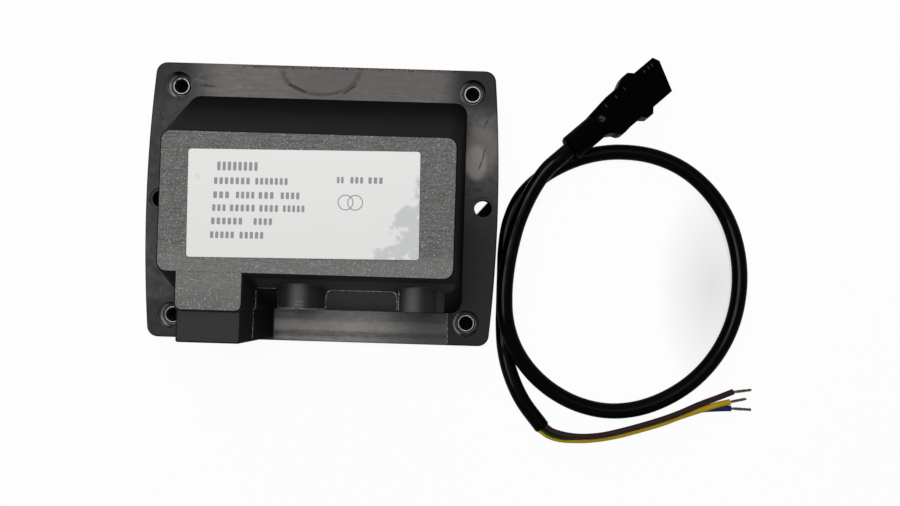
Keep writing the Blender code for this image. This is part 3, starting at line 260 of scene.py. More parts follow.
def lay_cord(name, route, diameter, grid, node):
    """Round cord on a smooth path, with its map running the length that the path has."""
    rings, sides = grid
    path = smooth_path(route, rings)
    length = float(run_along(path)[-1])
    verts, faces, shape = tube_surface(path, diameter / 2, sides)
    piece = add_piece(name, verts, faces)
    add_uv(piece, shape, length, diameter)
    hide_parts(node)
    return piece, path


in_boot = [tuple(connector_lay @ Vector((reach, BOOT_OFFSET, 0))) for reach in BOOT_REACHES]
sheath_route = np.concatenate((in_boot, beside_flange(SHEATH_FREE)))
sheath, sheath_path = lay_cord("lead_sheath_skin", sheath_route, SHEATH_DIAMETER, SHEATH_GRID,
                               "lead_sheath")
cores = {}
for colour, core_route in CORE_ROUTES.items():
    cores[colour] = lay_cord(f"core_{colour}_skin", beside_flange(core_route), CORE_DIAMETER, CORE_GRID,
                             f"core_{colour}")


# Bare strands: where each core's strands end, and the turns that they make on the way

STRAND_TIPS = {"brown": ((0.1009, -0.0671, 0.0013), 0.9),
               "green_yellow": ((0.0990, -0.0706, 0.0014), 0.7),
               "blue": ((0.1010, -0.0748, 0.0012), 1.1)}
STRAND_ROOT = 0.0004
STRAND_REACH = 0.00044
STRAND_RINGS = 26
WIRE_RADIUS = 0.00021
WIRE_SIDES = 8


def strand_bundle(colour, tip, turns):
    """Seven fine wires: one straight in the middle and six that turn round it, drawn in to the tip.

    Wire k follows axis(s) + reach(s) (cos(t) side + sin(t) up), with t = 2 pi (k / 6 + turns s).
    """
    route = cores[colour][1]
    start = route[-1] - unit(route[-1] - route[-2]) * STRAND_ROOT
    s = np.linspace(0.0, 1.0, STRAND_RINGS)[:, None]
    axis = start * (1 - s) + np.asarray(tip) * s
    side, up = frames_along(axis)
    reach = STRAND_REACH * (1.0 - 0.25 * s) * np.minimum(1.0, 0.35 + 2.0 * s)
    verts, faces = [], []
    for wire in range(7):
        t = 2 * math.pi * (wire / 6 + turns * s)
        centre = axis if wire == 6 else axis + reach * (np.cos(t) * side + np.sin(t) * up)
        shorter = 1.0 - 0.05 * (wire % 3)
        centre = centre[0] + (centre - centre[0]) * shorter
        wire_verts, wire_faces = tube_surface(centre, WIRE_RADIUS, WIRE_SIDES)[:2]
        base = wire * len(wire_verts)
        verts.append(wire_verts)
        faces += [[index + base for index in face] for face in wire_faces]
    piece = add_piece(f"strands_{colour}_wires", np.concatenate(verts), faces)
    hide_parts(f"strands_{colour}")
    return piece


strands = [strand_bundle(colour, beside_flange(tip), turns) for colour, (tip, turns) in STRAND_TIPS.items()]


# Fixing sleeves, turned

SLEEVE_REACH = (0.0567, 0.0444)
SLEEVE_PLACES = {f"{end}_{side}": (sx * SLEEVE_REACH[0], sy * SLEEVE_REACH[1])
                 for end, sy in (("rear", 1), ("front", -1)) for side, sx in (("left", -1), ("right", 1))}
SLEEVE_BORE_RADIUS = 0.0026
SLEEVE_RADIUS = 0.0033
SLEEVE_HEIGHT = 0.0060
SLEEVE_EDGE = 0.00022


def sleeve_profile(steps=5):
    """Closed section of a sleeve, anticlockwise, with a quarter round at both top corners."""
    turn = np.linspace(0, math.pi / 2, steps)
    top = SLEEVE_HEIGHT - SLEEVE_EDGE
    outer = [(SLEEVE_RADIUS - SLEEVE_EDGE + SLEEVE_EDGE * math.cos(t), top + SLEEVE_EDGE * math.sin(t))
             for t in turn]
    inner = [(SLEEVE_BORE_RADIUS + SLEEVE_EDGE - SLEEVE_EDGE * math.sin(t), top + SLEEVE_EDGE * math.cos(t))
             for t in turn]
    return [(SLEEVE_BORE_RADIUS, 0.0), (SLEEVE_RADIUS, 0.0)] + outer + inner


sleeves = []
for place_name, place in SLEEVE_PLACES.items():
    sleeves.append(turned_surface(f"sleeve_{place_name}", place, sleeve_profile(), 72))
    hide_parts(f"fixing_sleeve_{place_name}")


# Flash along the mould's parting line

HV_AXES_X = (-0.00215, 0.04015)
HV_TUBE_RADIUS = 0.0084
HV_TUBE_END_Y = -0.0395
PARTING_Z = 0.0400
SLOPE_Y = -0.03276
SLOPE_OUT = (0.0, -0.967, 0.256)
BLOCK_SIDE_X = -0.01859
BLOCK_END_X = -0.01929
FLANGE_Z = 0.0100


def at_height(z, *route):
    return [(x, y, z) for x, y in route]


def flash_lines():
    """The rib along the mould's parting line, one piece for each face that it crosses."""
    left, right = HV_AXES_X
    r, z = HV_TUBE_RADIUS, PARTING_Z
    turn = np.linspace(0.03, math.pi - 0.03, 24)
    rim = np.stack((left + r * np.cos(turn), np.full(24, HV_TUBE_END_Y), z + r * np.sin(turn)), 1)
    lean = math.radians(24)
    block = at_height(z, (BLOCK_SIDE_X, -0.0332), (BLOCK_SIDE_X, -0.0362), (BLOCK_SIDE_X, -0.0391),
                      (-0.01878, -0.03995), (BLOCK_END_X, -0.0407), (BLOCK_END_X, -0.0440),
                      (BLOCK_END_X, -0.0480), (BLOCK_END_X, -0.0512))
    slope = at_height(z, (-0.0184, SLOPE_Y), (-0.0145, SLOPE_Y), (left - r - 0.0003, SLOPE_Y))
    outer = at_height(z, (left - r, -0.0330), (left - r, -0.0360), (left - r, HV_TUBE_END_Y))
    near, far = left + r, right - r
    inner = at_height(z, (near, HV_TUBE_END_Y), (near, -0.0365), (near + 0.0003, -0.0345),
                      (near + 0.0010, -0.0333), (near + 0.0024, SLOPE_Y), (near + 0.0060, SLOPE_Y),
                      (0.0200, SLOPE_Y), (far - 0.0050, SLOPE_Y), (far - 0.0022, SLOPE_Y),
                      (far - 0.0009, -0.0333), (far - 0.0002, -0.0346), (far, -0.0365), (far, HV_TUBE_END_Y))
    right_side = [(right - r * math.cos(lean), y, z + r * math.sin(lean))
                  for y in (-0.0322, -0.0345, -0.0370, -0.0394)]
    flange = at_height(FLANGE_Z, (0.0495, -0.0405), (0.04945, -0.0440), (0.04965, -0.0480), (0.0498, -0.0524))
    return [ridge("flash_block_side", block, 0.00040, 0.00016, (1, 0, 0), 90),
            ridge("flash_slope_left", slope, 0.00032, 0.00012, SLOPE_OUT, 50),
            ridge("flash_tube_left_outer", outer, 0.00038, 0.00018, (-1, 0, 0), 46),
            ridge("flash_tube_left_rim", rim, 0.00026, 0.00012, (0, -1, 0), 90),
            ridge("flash_tube_left_inner", inner, 0.00042, 0.00018, (0, -0.6, 0.8), 200),
            ridge("flash_tube_right_side", right_side, 0.00032, 0.00016,
                  (-math.cos(lean), 0, math.sin(lean)), 50),
            ridge("flash_flange", flange, 0.00030, 0.00012, (0, 0, 1), 70)]


flash = flash_lines()


# Grip ribs on the connector: the place of each, along and across it in millimetres

GRIP_RIBS = ((20.9, 4.7), (26.3, 4.8), (31.0, 5.2), (41.6, 5.3), (43.9, 5.3), (45.6, 5.3))
GRIP_RIB_HALF = 0.9


def grip_ribs():
    """Short cross ribs on the top of the connector along its left side."""
    upwards = tuple(connector_lay.to_3x3() @ Vector((0, 0, 1)))
    ribs = []
    for index, (along, across) in enumerate(GRIP_RIBS):
        route = [connector_lay @ Vector((along * MM, (across + side) * MM, CONNECTOR_TOP))
                 for side in np.linspace(-GRIP_RIB_HALF, GRIP_RIB_HALF, 5)]
        ribs.append(ridge(f"grip_rib_{index + 1}", route, 0.00050, 0.00022, upwards, 24))
    return ribs


ribs = grip_ribs()


# Print on the label: rows of plain bars, and two rings. Each row has the x that it turns about, its y, its
# height, and the start and end of each of its groups, in millimetres.

LABEL_FACE_Z = 0.0584
LABEL_LOW_Z = 0.05810
LABEL_CENTRE = (-0.00011, -0.00382)
LABEL_HALF = (0.03943, 0.01840)
LABEL_CORNER = 0.0010
PRINT_HEIGHT = 0.00003
PRINT_LEAN = 0.0147
PRINT_MARKS = {
    "heading": (-20.0, 8.5, 3.0, ((-29.8, -15.4),)),
    "line_1": (-20.0, 3.5, 2.3, ((-30.7, -17.9), (-16.7, -5.1))),
    "line_2": (-20.0, -1.3, 2.3, ((-30.8, -24.7), (-23.1, -16.2), (-15.4, -9.6), (-7.9, -0.9))),
    "line_3": (-20.0, -5.7, 2.3, ((-31.0, -25.8), (-25.0, -15.9), (-15.0, -8.0), (-7.0, 0.9))),
    "line_4": (-20.0, -10.2, 2.3, ((-31.2, -20.0), (-16.8, -9.9))),
    "line_5": (-20.0, -14.9, 2.3, ((-31.4, -22.7), (-21.4, -12.7))),
    "side_line": (15.0, 4.8, 2.2, ((11.0, 13.8), (15.6, 20.5), (21.7, 27.2))),
}
BAR_PITCH = 1.75
BAR_SHARE = 0.62
BAR_CORNER = 0.3
COIL_X = (0.01416, 0.01742)
COIL_Y = -0.0028
COIL_RADII = (0.00235, 0.00268)


def rounded_bar(low, high, radius, steps=4):
    """Outline corners of a bar with quarter rounds: corner centre plus radius (cos t, sin t)."""
    t = np.radians(np.linspace(0, 90, steps))
    corners = []
    for sx, sy, start in ((1, -1, -90), (1, 1, 0), (-1, 1, 90), (-1, -1, 180)):
        cx = (high[0] if sx > 0 else low[0]) - sx * radius
        cy = (high[1] if sy > 0 else low[1]) - sy * radius
        turn = t + math.radians(start)
        corners.append(np.stack((cx + radius * np.cos(turn), cy + radius * np.sin(turn)), 1))
    return np.concatenate(corners)


def flat_bars(name, outlines, low, high):
    """Thin upright plates, all in one piece: each closed outline at the low and at the high z."""
    verts, faces = [], []
    for outline in outlines:
        count, base = len(outline), len(verts)
        verts += [(x, y, low) for x, y in outline] + [(x, y, high) for x, y in outline]
        faces += [[base + i, base + (i + 1) % count, base + count + (i + 1) % count, base + count + i]
                  for i in range(count)]
        faces.append(list(range(base + count - 1, base - 1, -1)))
        faces.append(list(range(base + count, base + 2 * count)))
    return add_piece(name, verts, faces, smooth=False)


def label_plate():
    """Plate turned a little on the face: its rounded outline at rising z, drawn in near the top."""
    turn = np.array(Matrix.Rotation(PRINT_LEAN, 2).to_2x2()).T
    rings = []
    for z, inset in ((LABEL_LOW_Z, 0.0), (0.05834, 0.0), (0.05838, 0.00002), (LABEL_FACE_Z, 0.00007)):
        high = np.subtract(LABEL_HALF, inset)
        outline = rounded_bar(-high, high, LABEL_CORNER - inset, 7) @ turn
        rings.append(np.column_stack((outline + LABEL_CENTRE, np.full(len(outline), z))))
    plate = add_piece("label_plate", np.concatenate(rings), grid_faces(len(rings), len(rings[0])))
    plate.data.set_sharp_from_angle(angle=math.radians(10))
    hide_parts("name_label")
    return plate


def print_row(middle, y, tall, groups):
    """Outlines of a row's bars, each moved up by the lean of the print times its distance from the middle."""
    outlines = []
    for start, end in groups:
        count = max(2, round((end - start) / BAR_PITCH))
        pitch = (end - start) / count
        for index in range(count):
            x = start + pitch * index
            lean = PRINT_LEAN * (x - middle)
            low = (x * MM, (y + lean - tall / 2) * MM)
            high = ((x + pitch * BAR_SHARE) * MM, (y + lean + tall / 2) * MM)
            outlines.append(rounded_bar(low, high, BAR_CORNER * MM))
    return outlines


def print_label():
    """The rows of bars, and the two rings, one of them half as high again as the other."""
    top = LABEL_FACE_Z + PRINT_HEIGHT
    marks = [flat_bars(f"label_print_{name}", print_row(*row), LABEL_FACE_Z, top)
             for name, row in PRINT_MARKS.items()]
    for index, x in enumerate(COIL_X):
        ring_top = LABEL_FACE_Z + PRINT_HEIGHT * (1 + index / 2)
        section = [(COIL_RADII[0], LABEL_FACE_Z), (COIL_RADII[1], LABEL_FACE_Z),
                   (COIL_RADII[1], ring_top), (COIL_RADII[0], ring_top)]
        marks.append(turned_surface(f"label_print_coil_{index + 1}", (x, COIL_Y), section, 64))
    return marks


label_print = print_label()
label = label_plate()


# Finishes, on object coordinates in millimetres

def add_node(tree, kind, settings=None, **inputs):
    """Add a shader node. Inputs are named, with _ for a space, or numbered as i0, i1 and so on."""
    made = tree.nodes.new("ShaderNode" + kind)
    for key, value in (settings or {}).items():
        setattr(made, key, value)
    for key, value in inputs.items():
        numbered = key[0] == "i" and key[1:].isdigit()
        set_input(tree, made.inputs[int(key[1:]) if numbered else key.replace("_", " ")], value)
    return made


def set_input(tree, socket, value):
    """Link a socket to another one, or give it a plain value."""
    if isinstance(value, bpy.types.NodeSocket):
        tree.links.new(value, socket)
    else:
        socket.default_value = value


def calc(tree, operation, first, second=0.0, clamp=False):
    made = add_node(tree, "Math", {"operation": operation, "use_clamp": clamp}, i0=first, i1=second)
    return made.outputs[0]


def product(tree, *values):
    result = values[0]
    for value in values[1:]:
        result = calc(tree, "MULTIPLY", result, value)
    return result


def total(tree, *values):
    result = values[0]
    for value in values[1:]:
        result = calc(tree, "ADD", result, value)
    return result


def less(tree, first, second):
    return calc(tree, "SUBTRACT", first, second)


def inverse(tree, value):
    return less(tree, 1.0, value)


def rise(tree, value, low, high):
    """0 on the low side, 1 on the high side, and a smooth step between. High may be the smaller one."""
    made = add_node(tree, "MapRange", {"interpolation_type": "SMOOTHSTEP"}, Value=value,
                    From_Min=low, From_Max=high)
    return made.outputs["Result"]


def spread(tree, value, low, high):
    """Map 0 to 1 onto low to high, in a straight line."""
    made = add_node(tree, "MapRange", {"clamp": False}, Value=value, To_Min=low, To_Max=high)
    return made.outputs["Result"]


def blend_colours(tree, share, first, second):
    return add_node(tree, "Mix", {"data_type": "RGBA"}, i0=share, i6=first, i7=second).outputs[2]


def cover(tree, colour, *layers):
    """Lay each layer's tone over the colour in turn, as far as its mask says."""
    for mask, tone in layers:
        colour = blend_colours(tree, mask, colour, tone)
    return colour


def noise(tree, vector, scale, detail=3.0, roughness=0.55):
    return add_node(tree, "TexNoise", None, Vector=vector, Scale=scale, Detail=detail,
                    Roughness=roughness).outputs["Fac"]


def vector_node(tree, operation, output=0, **inputs):
    return add_node(tree, "VectorMath", {"operation": operation}, **inputs).outputs[output]


def stretched(tree, vector, factors):
    return vector_node(tree, "MULTIPLY", i0=vector, i1=factors)


def distance(tree, first, second):
    return vector_node(tree, "DISTANCE", "Value", i0=first, i1=second)


def ellipse(tree, x, y, centre, radii):
    """Distance from the centre of an ellipse, as a share of its radii."""
    u, v = (calc(tree, "DIVIDE", less(tree, value, middle), radius)
            for value, middle, radius in zip((x, y), centre, radii))
    return calc(tree, "SQRT", total(tree, product(tree, u, u), product(tree, v, v)))


def grey(value, warm=0.0):
    return (value * (1 + warm), value, value * (1 - warm), 1.0)


def rgb(red, green, blue):
    return (red, green, blue, 1.0)


def object_mm(tree):
    return vector_node(tree, "SCALE", i0=add_node(tree, "TexCoord").outputs["Object"], Scale=1 / MM)


def parts_of(tree, vector):
    return add_node(tree, "SeparateXYZ", None, Vector=vector).outputs[:3]


# Node groups, for effects that more than one finish has

def new_group(name, inputs, outputs):
    """Shader node group with named sockets: returns its tree, and its inner input and output nodes."""
    tree = bpy.data.node_groups.new(name, "ShaderNodeTree")
    for socket_name, kind, value in inputs:
        socket = tree.interface.new_socket(name=socket_name, in_out="INPUT", socket_type="NodeSocket" + kind)
        if value is not None:
            socket.default_value = value
    for socket_name in outputs:
        tree.interface.new_socket(name=socket_name, in_out="OUTPUT", socket_type="NodeSocketFloat")
    return tree, tree.nodes.new("NodeGroupInput"), tree.nodes.new("NodeGroupOutput")


def use_group(tree, group, **inputs):
    made = tree.nodes.new("ShaderNodeGroup")
    made.node_tree = group
    for key, value in inputs.items():
        set_input(tree, made.inputs[key.replace("_", " ")], value)
    return made


def make_band_group():
    """1 where the value lies between two bounds, with soft edges."""
    tree, given, result = new_group("band", [("Value", "Float", 0.0), ("Low", "Float", 0.0),
                                             ("High", "Float", 1.0), ("Soft", "Float", 0.5)], ["Mask"])
    value, low, high, soft = given.outputs[:4]
    from_low = calc(tree, "DIVIDE", less(tree, value, low), soft)
    from_high = calc(tree, "DIVIDE", less(tree, high, value), soft)
    mask = product(tree, rise(tree, from_low, -1.0, 1.0), rise(tree, from_high, -1.0, 1.0))
    tree.links.new(mask, result.inputs[0])
    return tree


def make_scratch_group():
    """A line from one point to another: 1 on it, fading to 0 at its half width, broken up by noise."""
    tree, given, result = new_group("scratch", [("Place", "Vector", None), ("From", "Vector", None),
                                                ("To", "Vector", None), ("Half Width", "Float", 0.2),
                                                ("Broken", "Float", 0.4)], ["Mask"])
    place, start, end, width, broken = given.outputs[:5]
    run = vector_node(tree, "SUBTRACT", i0=end, i1=start)
    here = vector_node(tree, "SUBTRACT", i0=place, i1=start)
    share = calc(tree, "DIVIDE", vector_node(tree, "DOT_PRODUCT", "Value", i0=here, i1=run),
                 vector_node(tree, "DOT_PRODUCT", "Value", i0=run, i1=run), clamp=True)
    gap = distance(tree, here, vector_node(tree, "SCALE", i0=run, Scale=share))
    gap = total(tree, gap, product(tree, less(tree, noise(tree, place, 0.9, 2.0), 0.5), width))
    line = inverse(tree, rise(tree, calc(tree, "DIVIDE", gap, width), 0.3, 1.0))
    whole = rise(tree, noise(tree, place, 1.6, 3.0), 0.40, 0.55)
    kept = inverse(tree, product(tree, broken, inverse(tree, whole)))
    tree.links.new(product(tree, line, kept), result.inputs[0])
    return tree


def make_grain_group():
    """Spark-eroded mould grain: a fine height, pale specks where it peaks, and faint drawn streaks."""
    tree, given, result = new_group("mould_grain", [("Place", "Vector", None), ("Grain", "Float", 2.2)],
                                    ["Height", "Specks", "Streaks"])
    place, grain = given.outputs[:2]
    fine = noise(tree, place, grain, 4.0, 0.62)
    coarse = noise(tree, place, product(tree, grain, 0.45), 2.0, 0.5)
    height = total(tree, product(tree, fine, 0.7), product(tree, coarse, 0.3))
    specks = rise(tree, noise(tree, place, product(tree, grain, 1.15), 3.0, 0.6), 0.575, 0.67)
    streaks = noise(tree, stretched(tree, place, (0.12, 1.6, 1.0)), 1.0, 4.0, 0.6)
    for value, socket in zip((height, specks, streaks), result.inputs):
        tree.links.new(value, socket)
    return tree


def make_dust_group():
    """Dust and handling marks: a thin haze in soft patches, and separate small specks."""
    tree, given, result = new_group("dust", [("Place", "Vector", None), ("Amount", "Float", 0.3)],
                                    ["Haze", "Specks"])
    place, amount = given.outputs[:2]
    patches = rise(tree, noise(tree, place, 0.11, 4.0, 0.6), 0.42, 0.68)
    dots = rise(tree, noise(tree, place, 3.4, 1.0, 0.4), 0.70, 0.78)
    tree.links.new(product(tree, patches, amount), result.inputs[0])
    tree.links.new(product(tree, dots, amount), result.inputs[1])
    return tree


BAND = make_band_group()
SCRATCH = make_scratch_group()
GRAIN = make_grain_group()
DUST = make_dust_group()


def band(tree, value, low, high, soft=0.5):
    return use_group(tree, BAND, Value=value, Low=low, High=high, Soft=soft).outputs[0]


def scratches(tree, place, marks, broken):
    """The strongest of the lines in a table of start, end and half width."""
    result = 0.0
    for start, end, half_width in marks:
        mark = use_group(tree, SCRATCH, Place=place, From=start, To=end, Half_Width=half_width,
                         Broken=broken).outputs[0]
        result = calc(tree, "MAXIMUM", mark, result)
    return result


def new_finish(name, roughness, metallic=0.0, specular=0.5):
    material = bpy.data.materials.new(name)
    material.use_nodes = True
    tree = material.node_tree
    shader = tree.nodes["Principled BSDF"]
    shader.inputs["Roughness"].default_value = roughness
    shader.inputs["Metallic"].default_value = metallic
    shader.inputs["Specular IOR Level"].default_value = specular
    return material, tree, shader


def wire_up(tree, shader, colour, roughness=None, height=None, depth=0.02, strength=0.5):
    """Join a colour, a roughness and a height to the shader, with the depth of the relief in millimetres."""
    tree.links.new(colour, shader.inputs["Base Color"])
    if roughness is not None:
        tree.links.new(roughness, shader.inputs["Roughness"])
    if height is not None:
        bump = add_node(tree, "Bump", None, Strength=strength, Distance=depth * MM, Height=height)
        tree.links.new(bump.outputs[0], shader.inputs["Normal"])


# The housing's finish. A spot is a place on it in millimetres, with the two slow patterns that mix its
# tones. Ellipses are given by centre and radii, and rectangles by their bounds in x and in y.

Spot = namedtuple("Spot", "place x y z mottle rubbed")

TUBE_HIGHLIGHT_SHIFTS = (-0.5, -3.0)
BLOCK_SEAM = ((-40.8, -20.8), (-28.5, -23.0))
FRONT_STRIP = ((-16.6, 49.6), (-54.0, -40.8))
BACK_ARC = ((-2.0, 51.0), (14.6, 9.0))
GLARE_PATCH = ((60.5, 22.0), (7.5, 12.5))
GLARE_MIDDLE = ((58.7, 17.4), (4.9, 7.8))
PALE_SCRATCHES = (
    ((-50.4, 46.6, 10.0), (-44.6, 45.4, 10.0), 0.22),
    ((28.0, 42.6, 10.0), (52.0, 37.6, 10.0), 0.22),
    ((-3.2, -36.9, 48.3), (-0.6, -37.1, 48.3), 0.30),
    ((-3.4, -38.2, 48.3), (-0.4, -38.3, 48.3), 0.22),
)
DARK_SCRATCHES = (
    ((62.6, 33.9, 10.0), (61.2, 30.7, 10.0), 0.30),
    ((61.9, 22.4, 10.0), (61.2, 18.6, 10.0), 0.34),
    ((61.2, 18.8, 10.0), (59.9, 15.0, 10.0), 0.34),
    ((-48.5, 44.3, 10.0), (-42.7, 43.9, 10.0), 0.30),
    ((-64.1, 34.6, 10.0), (-63.3, 32.7, 10.0), 0.35),
    ((-63.3, 32.7, 10.0), (-62.3, 30.4, 10.0), 0.45),
    ((-13.8, 45.4, 10.0), (-8.2, 43.0, 10.0), 0.75),
    ((7.2, 42.6, 10.0), (11.4, 45.6, 10.0), 0.60),
    ((-28.0, 52.0, 10.0), (-12.0, 52.4, 10.0), 0.16),
)


def slope_tones(tree, spot):
    """Near black slopes, lighter towards the raised face and on the front and darker on the right, as painted
    light and shade; also lighter low down between the tubes.
    """
    x, y, z = spot.x, spot.y, spot.z
    front = product(tree, rise(tree, y, -29.0, -30.0), band(tree, x, -17.5, 52.0, 1.0),
                    rise(tree, z, 40.0, 41.0))
    pocket = product(tree, rise(tree, y, -32.0, -32.6), band(tree, x, -1.0, 40.0, 6.0),
                     rise(tree, z, 40.0, 39.0), rise(tree, z, 9.8, 10.4))
    return cover(tree, grey(0.0020), (rise(tree, z, 20.0, 56.0), grey(0.0110, 0.04)),
                 (product(tree, rise(tree, x, 48.0, 53.0), 0.75), grey(0.0012)),
                 (front, grey(0.036, 0.03)), (pocket, grey(0.066, 0.02)))


def tube_tones(tree, spot, colour):
    """Dull black tubes, darker at their sides, with a painted highlight along each: a soft pale line."""
    above_slope = total(tree, product(tree, less(tree, spot.y, SLOPE_Y / MM), SLOPE_OUT[1]),
                        product(tree, less(tree, spot.z, PARTING_Z / MM), SLOPE_OUT[2]))
    near = product(tree, rise(tree, above_slope, 0.15, 0.60), band(tree, spot.z, 39.5, 50.0, 1.0))
    for axis, shift in zip(HV_AXES_X, TUBE_HIGHLIGHT_SHIFTS):
        offset = calc(tree, "ABSOLUTE", less(tree, spot.x, axis / MM + shift))
        body = product(tree, near, inverse(tree, rise(tree, offset, 8.0, 9.6)))
        highlight = calc(tree, "POWER", inverse(tree, rise(tree, offset, 0.2, 5.4)), 1.6)
        tone = blend_colours(tree, highlight, grey(0.018, -0.02), grey(0.094, -0.01))
        colour = cover(tree, colour, (body, tone))
    return colour


def face_tones(tree, spot, grain):
    """Grained grey: paler in front of the label, darker again on the block, with pale specks."""
    tone = total(tree, product(tree, grain.outputs["Height"], 0.70),
                 product(tree, grain.outputs["Streaks"], 0.60))
    return cover(tree, grey(0.078, 0.02), (rise(tree, tone, 0.40, 0.90), grey(0.178, 0.02)),
                 (product(tree, inverse(tree, rise(tree, spot.y, -23.5, -18.0)), 0.35), grey(0.23, 0.02)),
                 (product(tree, rise(tree, spot.y, -33.0, -38.0), 0.30), grey(0.085, 0.02)),
                 (product(tree, grain.outputs["Specks"], 0.85), grey(0.44)))


def flange_sides(tree, spot):
    """Dull left and right sides of the flange, toned with painted reflection and dust, dark at its corners.
    """
    x, y = spot.x, spot.y
    left = cover(tree, grey(0.024, -0.02), (rise(tree, spot.mottle, 0.20, 0.85), grey(0.076, -0.02)),
                 (product(tree, rise(tree, y, -18.0, 6.0), 0.35), grey(0.018, -0.02)))
    pale = product(tree, rise(tree, y, -14.0, 24.0), inverse(tree, rise(tree, y, 33.0, 42.0)),
                   rise(tree, spot.mottle, 0.05, 0.75))
    right = blend_colours(tree, pale, grey(0.0105), grey(0.100, 0.03))
    corner = product(tree, rise(tree, calc(tree, "ABSOLUTE", x), 50.0, 55.0),
                     rise(tree, calc(tree, "ABSOLUTE", y), 36.0, 41.0))
    return cover(tree, left, (rise(tree, x, -10.0, 10.0), right),
                 (product(tree, corner, 0.62), grey(0.012, -0.01)))


def flange_back(tree, spot, colour):
    """Pale band at the back, painted reflection with dust and rubbing, with a moulded arc, scuffs and a worn
    rim.
    """
    place, x, y = spot.place, spot.x, spot.y
    # the back band's pale tones are painted reflection, with dust and rubbing
    rubbed = cover(tree, rgb(0.112, 0.100, 0.096),
                   (rise(tree, spot.rubbed, 0.38, 0.82), rgb(0.176, 0.160, 0.154)),
                   (product(tree, rise(tree, x, -30.0, 0.0), 0.55), rgb(0.098, 0.092, 0.088)))
    back = product(tree, rise(tree, y, 36.0, 40.0), rise(tree, x, -54.5, -38.0),
                   inverse(tree, rise(tree, x, 43.0, 54.0)))
    arc = ellipse(tree, x, y, *BACK_ARC)
    arc_line = product(tree, band(tree, arc, 0.93, 1.07, 0.05), rise(tree, spot.mottle, 0.32, 0.50),
                       inverse(tree, rise(tree, y, 49.0, 53.0)), 0.62)
    in_arc = product(tree, inverse(tree, rise(tree, arc, 0.6, 1.0)), 0.15)
    drawn = noise(tree, stretched(tree, place, (0.35, 1.6, 1.0)), 1.0, 4.0, 0.6)
    scuffs = product(tree, rise(tree, drawn, 0.55, 0.66), band(tree, x, 40.0, 58.0, 3.0),
                     band(tree, y, 36.0, 47.0, 2.0))
    rim = product(tree, band(tree, y, 51.7, 53.5, 0.25),
                  rise(tree, noise(tree, place, 1.3, 3.0, 0.6), 0.50, 0.58), rise(tree, x, -36.0, -30.0))
    return cover(tree, colour, (back, rubbed), (arc_line, grey(0.030, 0.02)), (in_arc, grey(0.070)),
                 (product(tree, scuffs, 0.7), grey(0.030)), (rim, grey(0.012)))


def flange_glare(tree, spot, colour):
    """Painted reflection: a pale patch of glare on the right side, paler still at its middle."""
    outer = rise(tree, ellipse(tree, spot.x, spot.y, *GLARE_PATCH), 0.55, 1.05)
    middle = rise(tree, ellipse(tree, spot.x, spot.y, *GLARE_MIDDLE), 0.60, 1.05)
    glow = product(tree, inverse(tree, outer), spread(tree, rise(tree, spot.mottle, 0.16, 0.52), 0.4, 0.8))
    glare = product(tree, inverse(tree, middle), rise(tree, spot.mottle, 0.10, 0.44))
    return cover(tree, colour, (glow, rgb(0.170, 0.152, 0.144)), (glare, rgb(0.285, 0.252, 0.234)))


def front_strip(tree, spot, colour):
    """Smooth strip of the flange below the tubes, its shine painted reflection: soft lines along it, dimmer
    to the right.
    """
    x, y = spot.x, spot.y
    strip = product(tree, band(tree, x, *FRONT_STRIP[0], 0.12), band(tree, y, *FRONT_STRIP[1], 0.15))
    shine = total(tree, 0.68, product(tree, band(tree, y, -48.3, -44.9, 0.9), 0.34))
    shine = less(tree, shine, product(tree, band(tree, y, -50.9, -48.9, 0.7), 0.26))
    shine = total(tree, shine, product(tree, less(tree, spot.rubbed, 0.60), 1.3))
    shine = product(tree, shine, spread(tree, rise(tree, x, 6.0, 44.0), 1.0, 0.26),
                    spread(tree, rise(tree, x, -15.6, -13.8), 0.75, 1.0))
    shine = calc(tree, "ADD", shine, 0.0, clamp=True)
    return cover(tree, colour, (strip, blend_colours(tree, shine, grey(0.020, 0.01), grey(0.355, 0.03))))


def recess_tones(tree, spot, colour):
    """Recesses of the fixing holes, dark as painted shade, with a painted highlight on the wall on the left
    and pale arcs of painted light round each sleeve.
    """
    reach_x, reach_y = (part / MM for part in SLEEVE_REACH)
    wide, deep = calc(tree, "ABSOLUTE", spot.x), calc(tree, "ABSOLUTE", spot.y)
    gap = ellipse(tree, wide, deep, (reach_x, reach_y), (1.0, 1.0))
    right = product(tree, less(tree, wide, reach_x), calc(tree, "SIGN", spot.x))
    above = product(tree, less(tree, deep, reach_y), calc(tree, "SIGN", spot.y))
    recess = product(tree, inverse(tree, rise(tree, gap, 5.3, 5.6)), band(tree, spot.z, 4.2, 9.7, 0.2))
    patches = rise(tree, noise(tree, spot.place, 0.30, 2.0), 0.30, 0.60)
    wall_light = product(tree, recess, rise(tree, gap, 4.0, 4.5), rise(tree, right, -1.0, -3.6),
                         spread(tree, patches, 0.6, 1.0))
    lower_right = rise(tree, less(tree, right, above), 0.5, 3.6)
    arc_light = product(tree, recess, band(tree, gap, 3.15, 3.75, 0.15), spread(tree, lower_right, 0.55, 1.0))
    return cover(tree, colour, (recess, blend_colours(tree, patches, grey(0.004), grey(0.030))),
                 (wall_light, grey(0.42)), (arc_light, grey(0.32)))


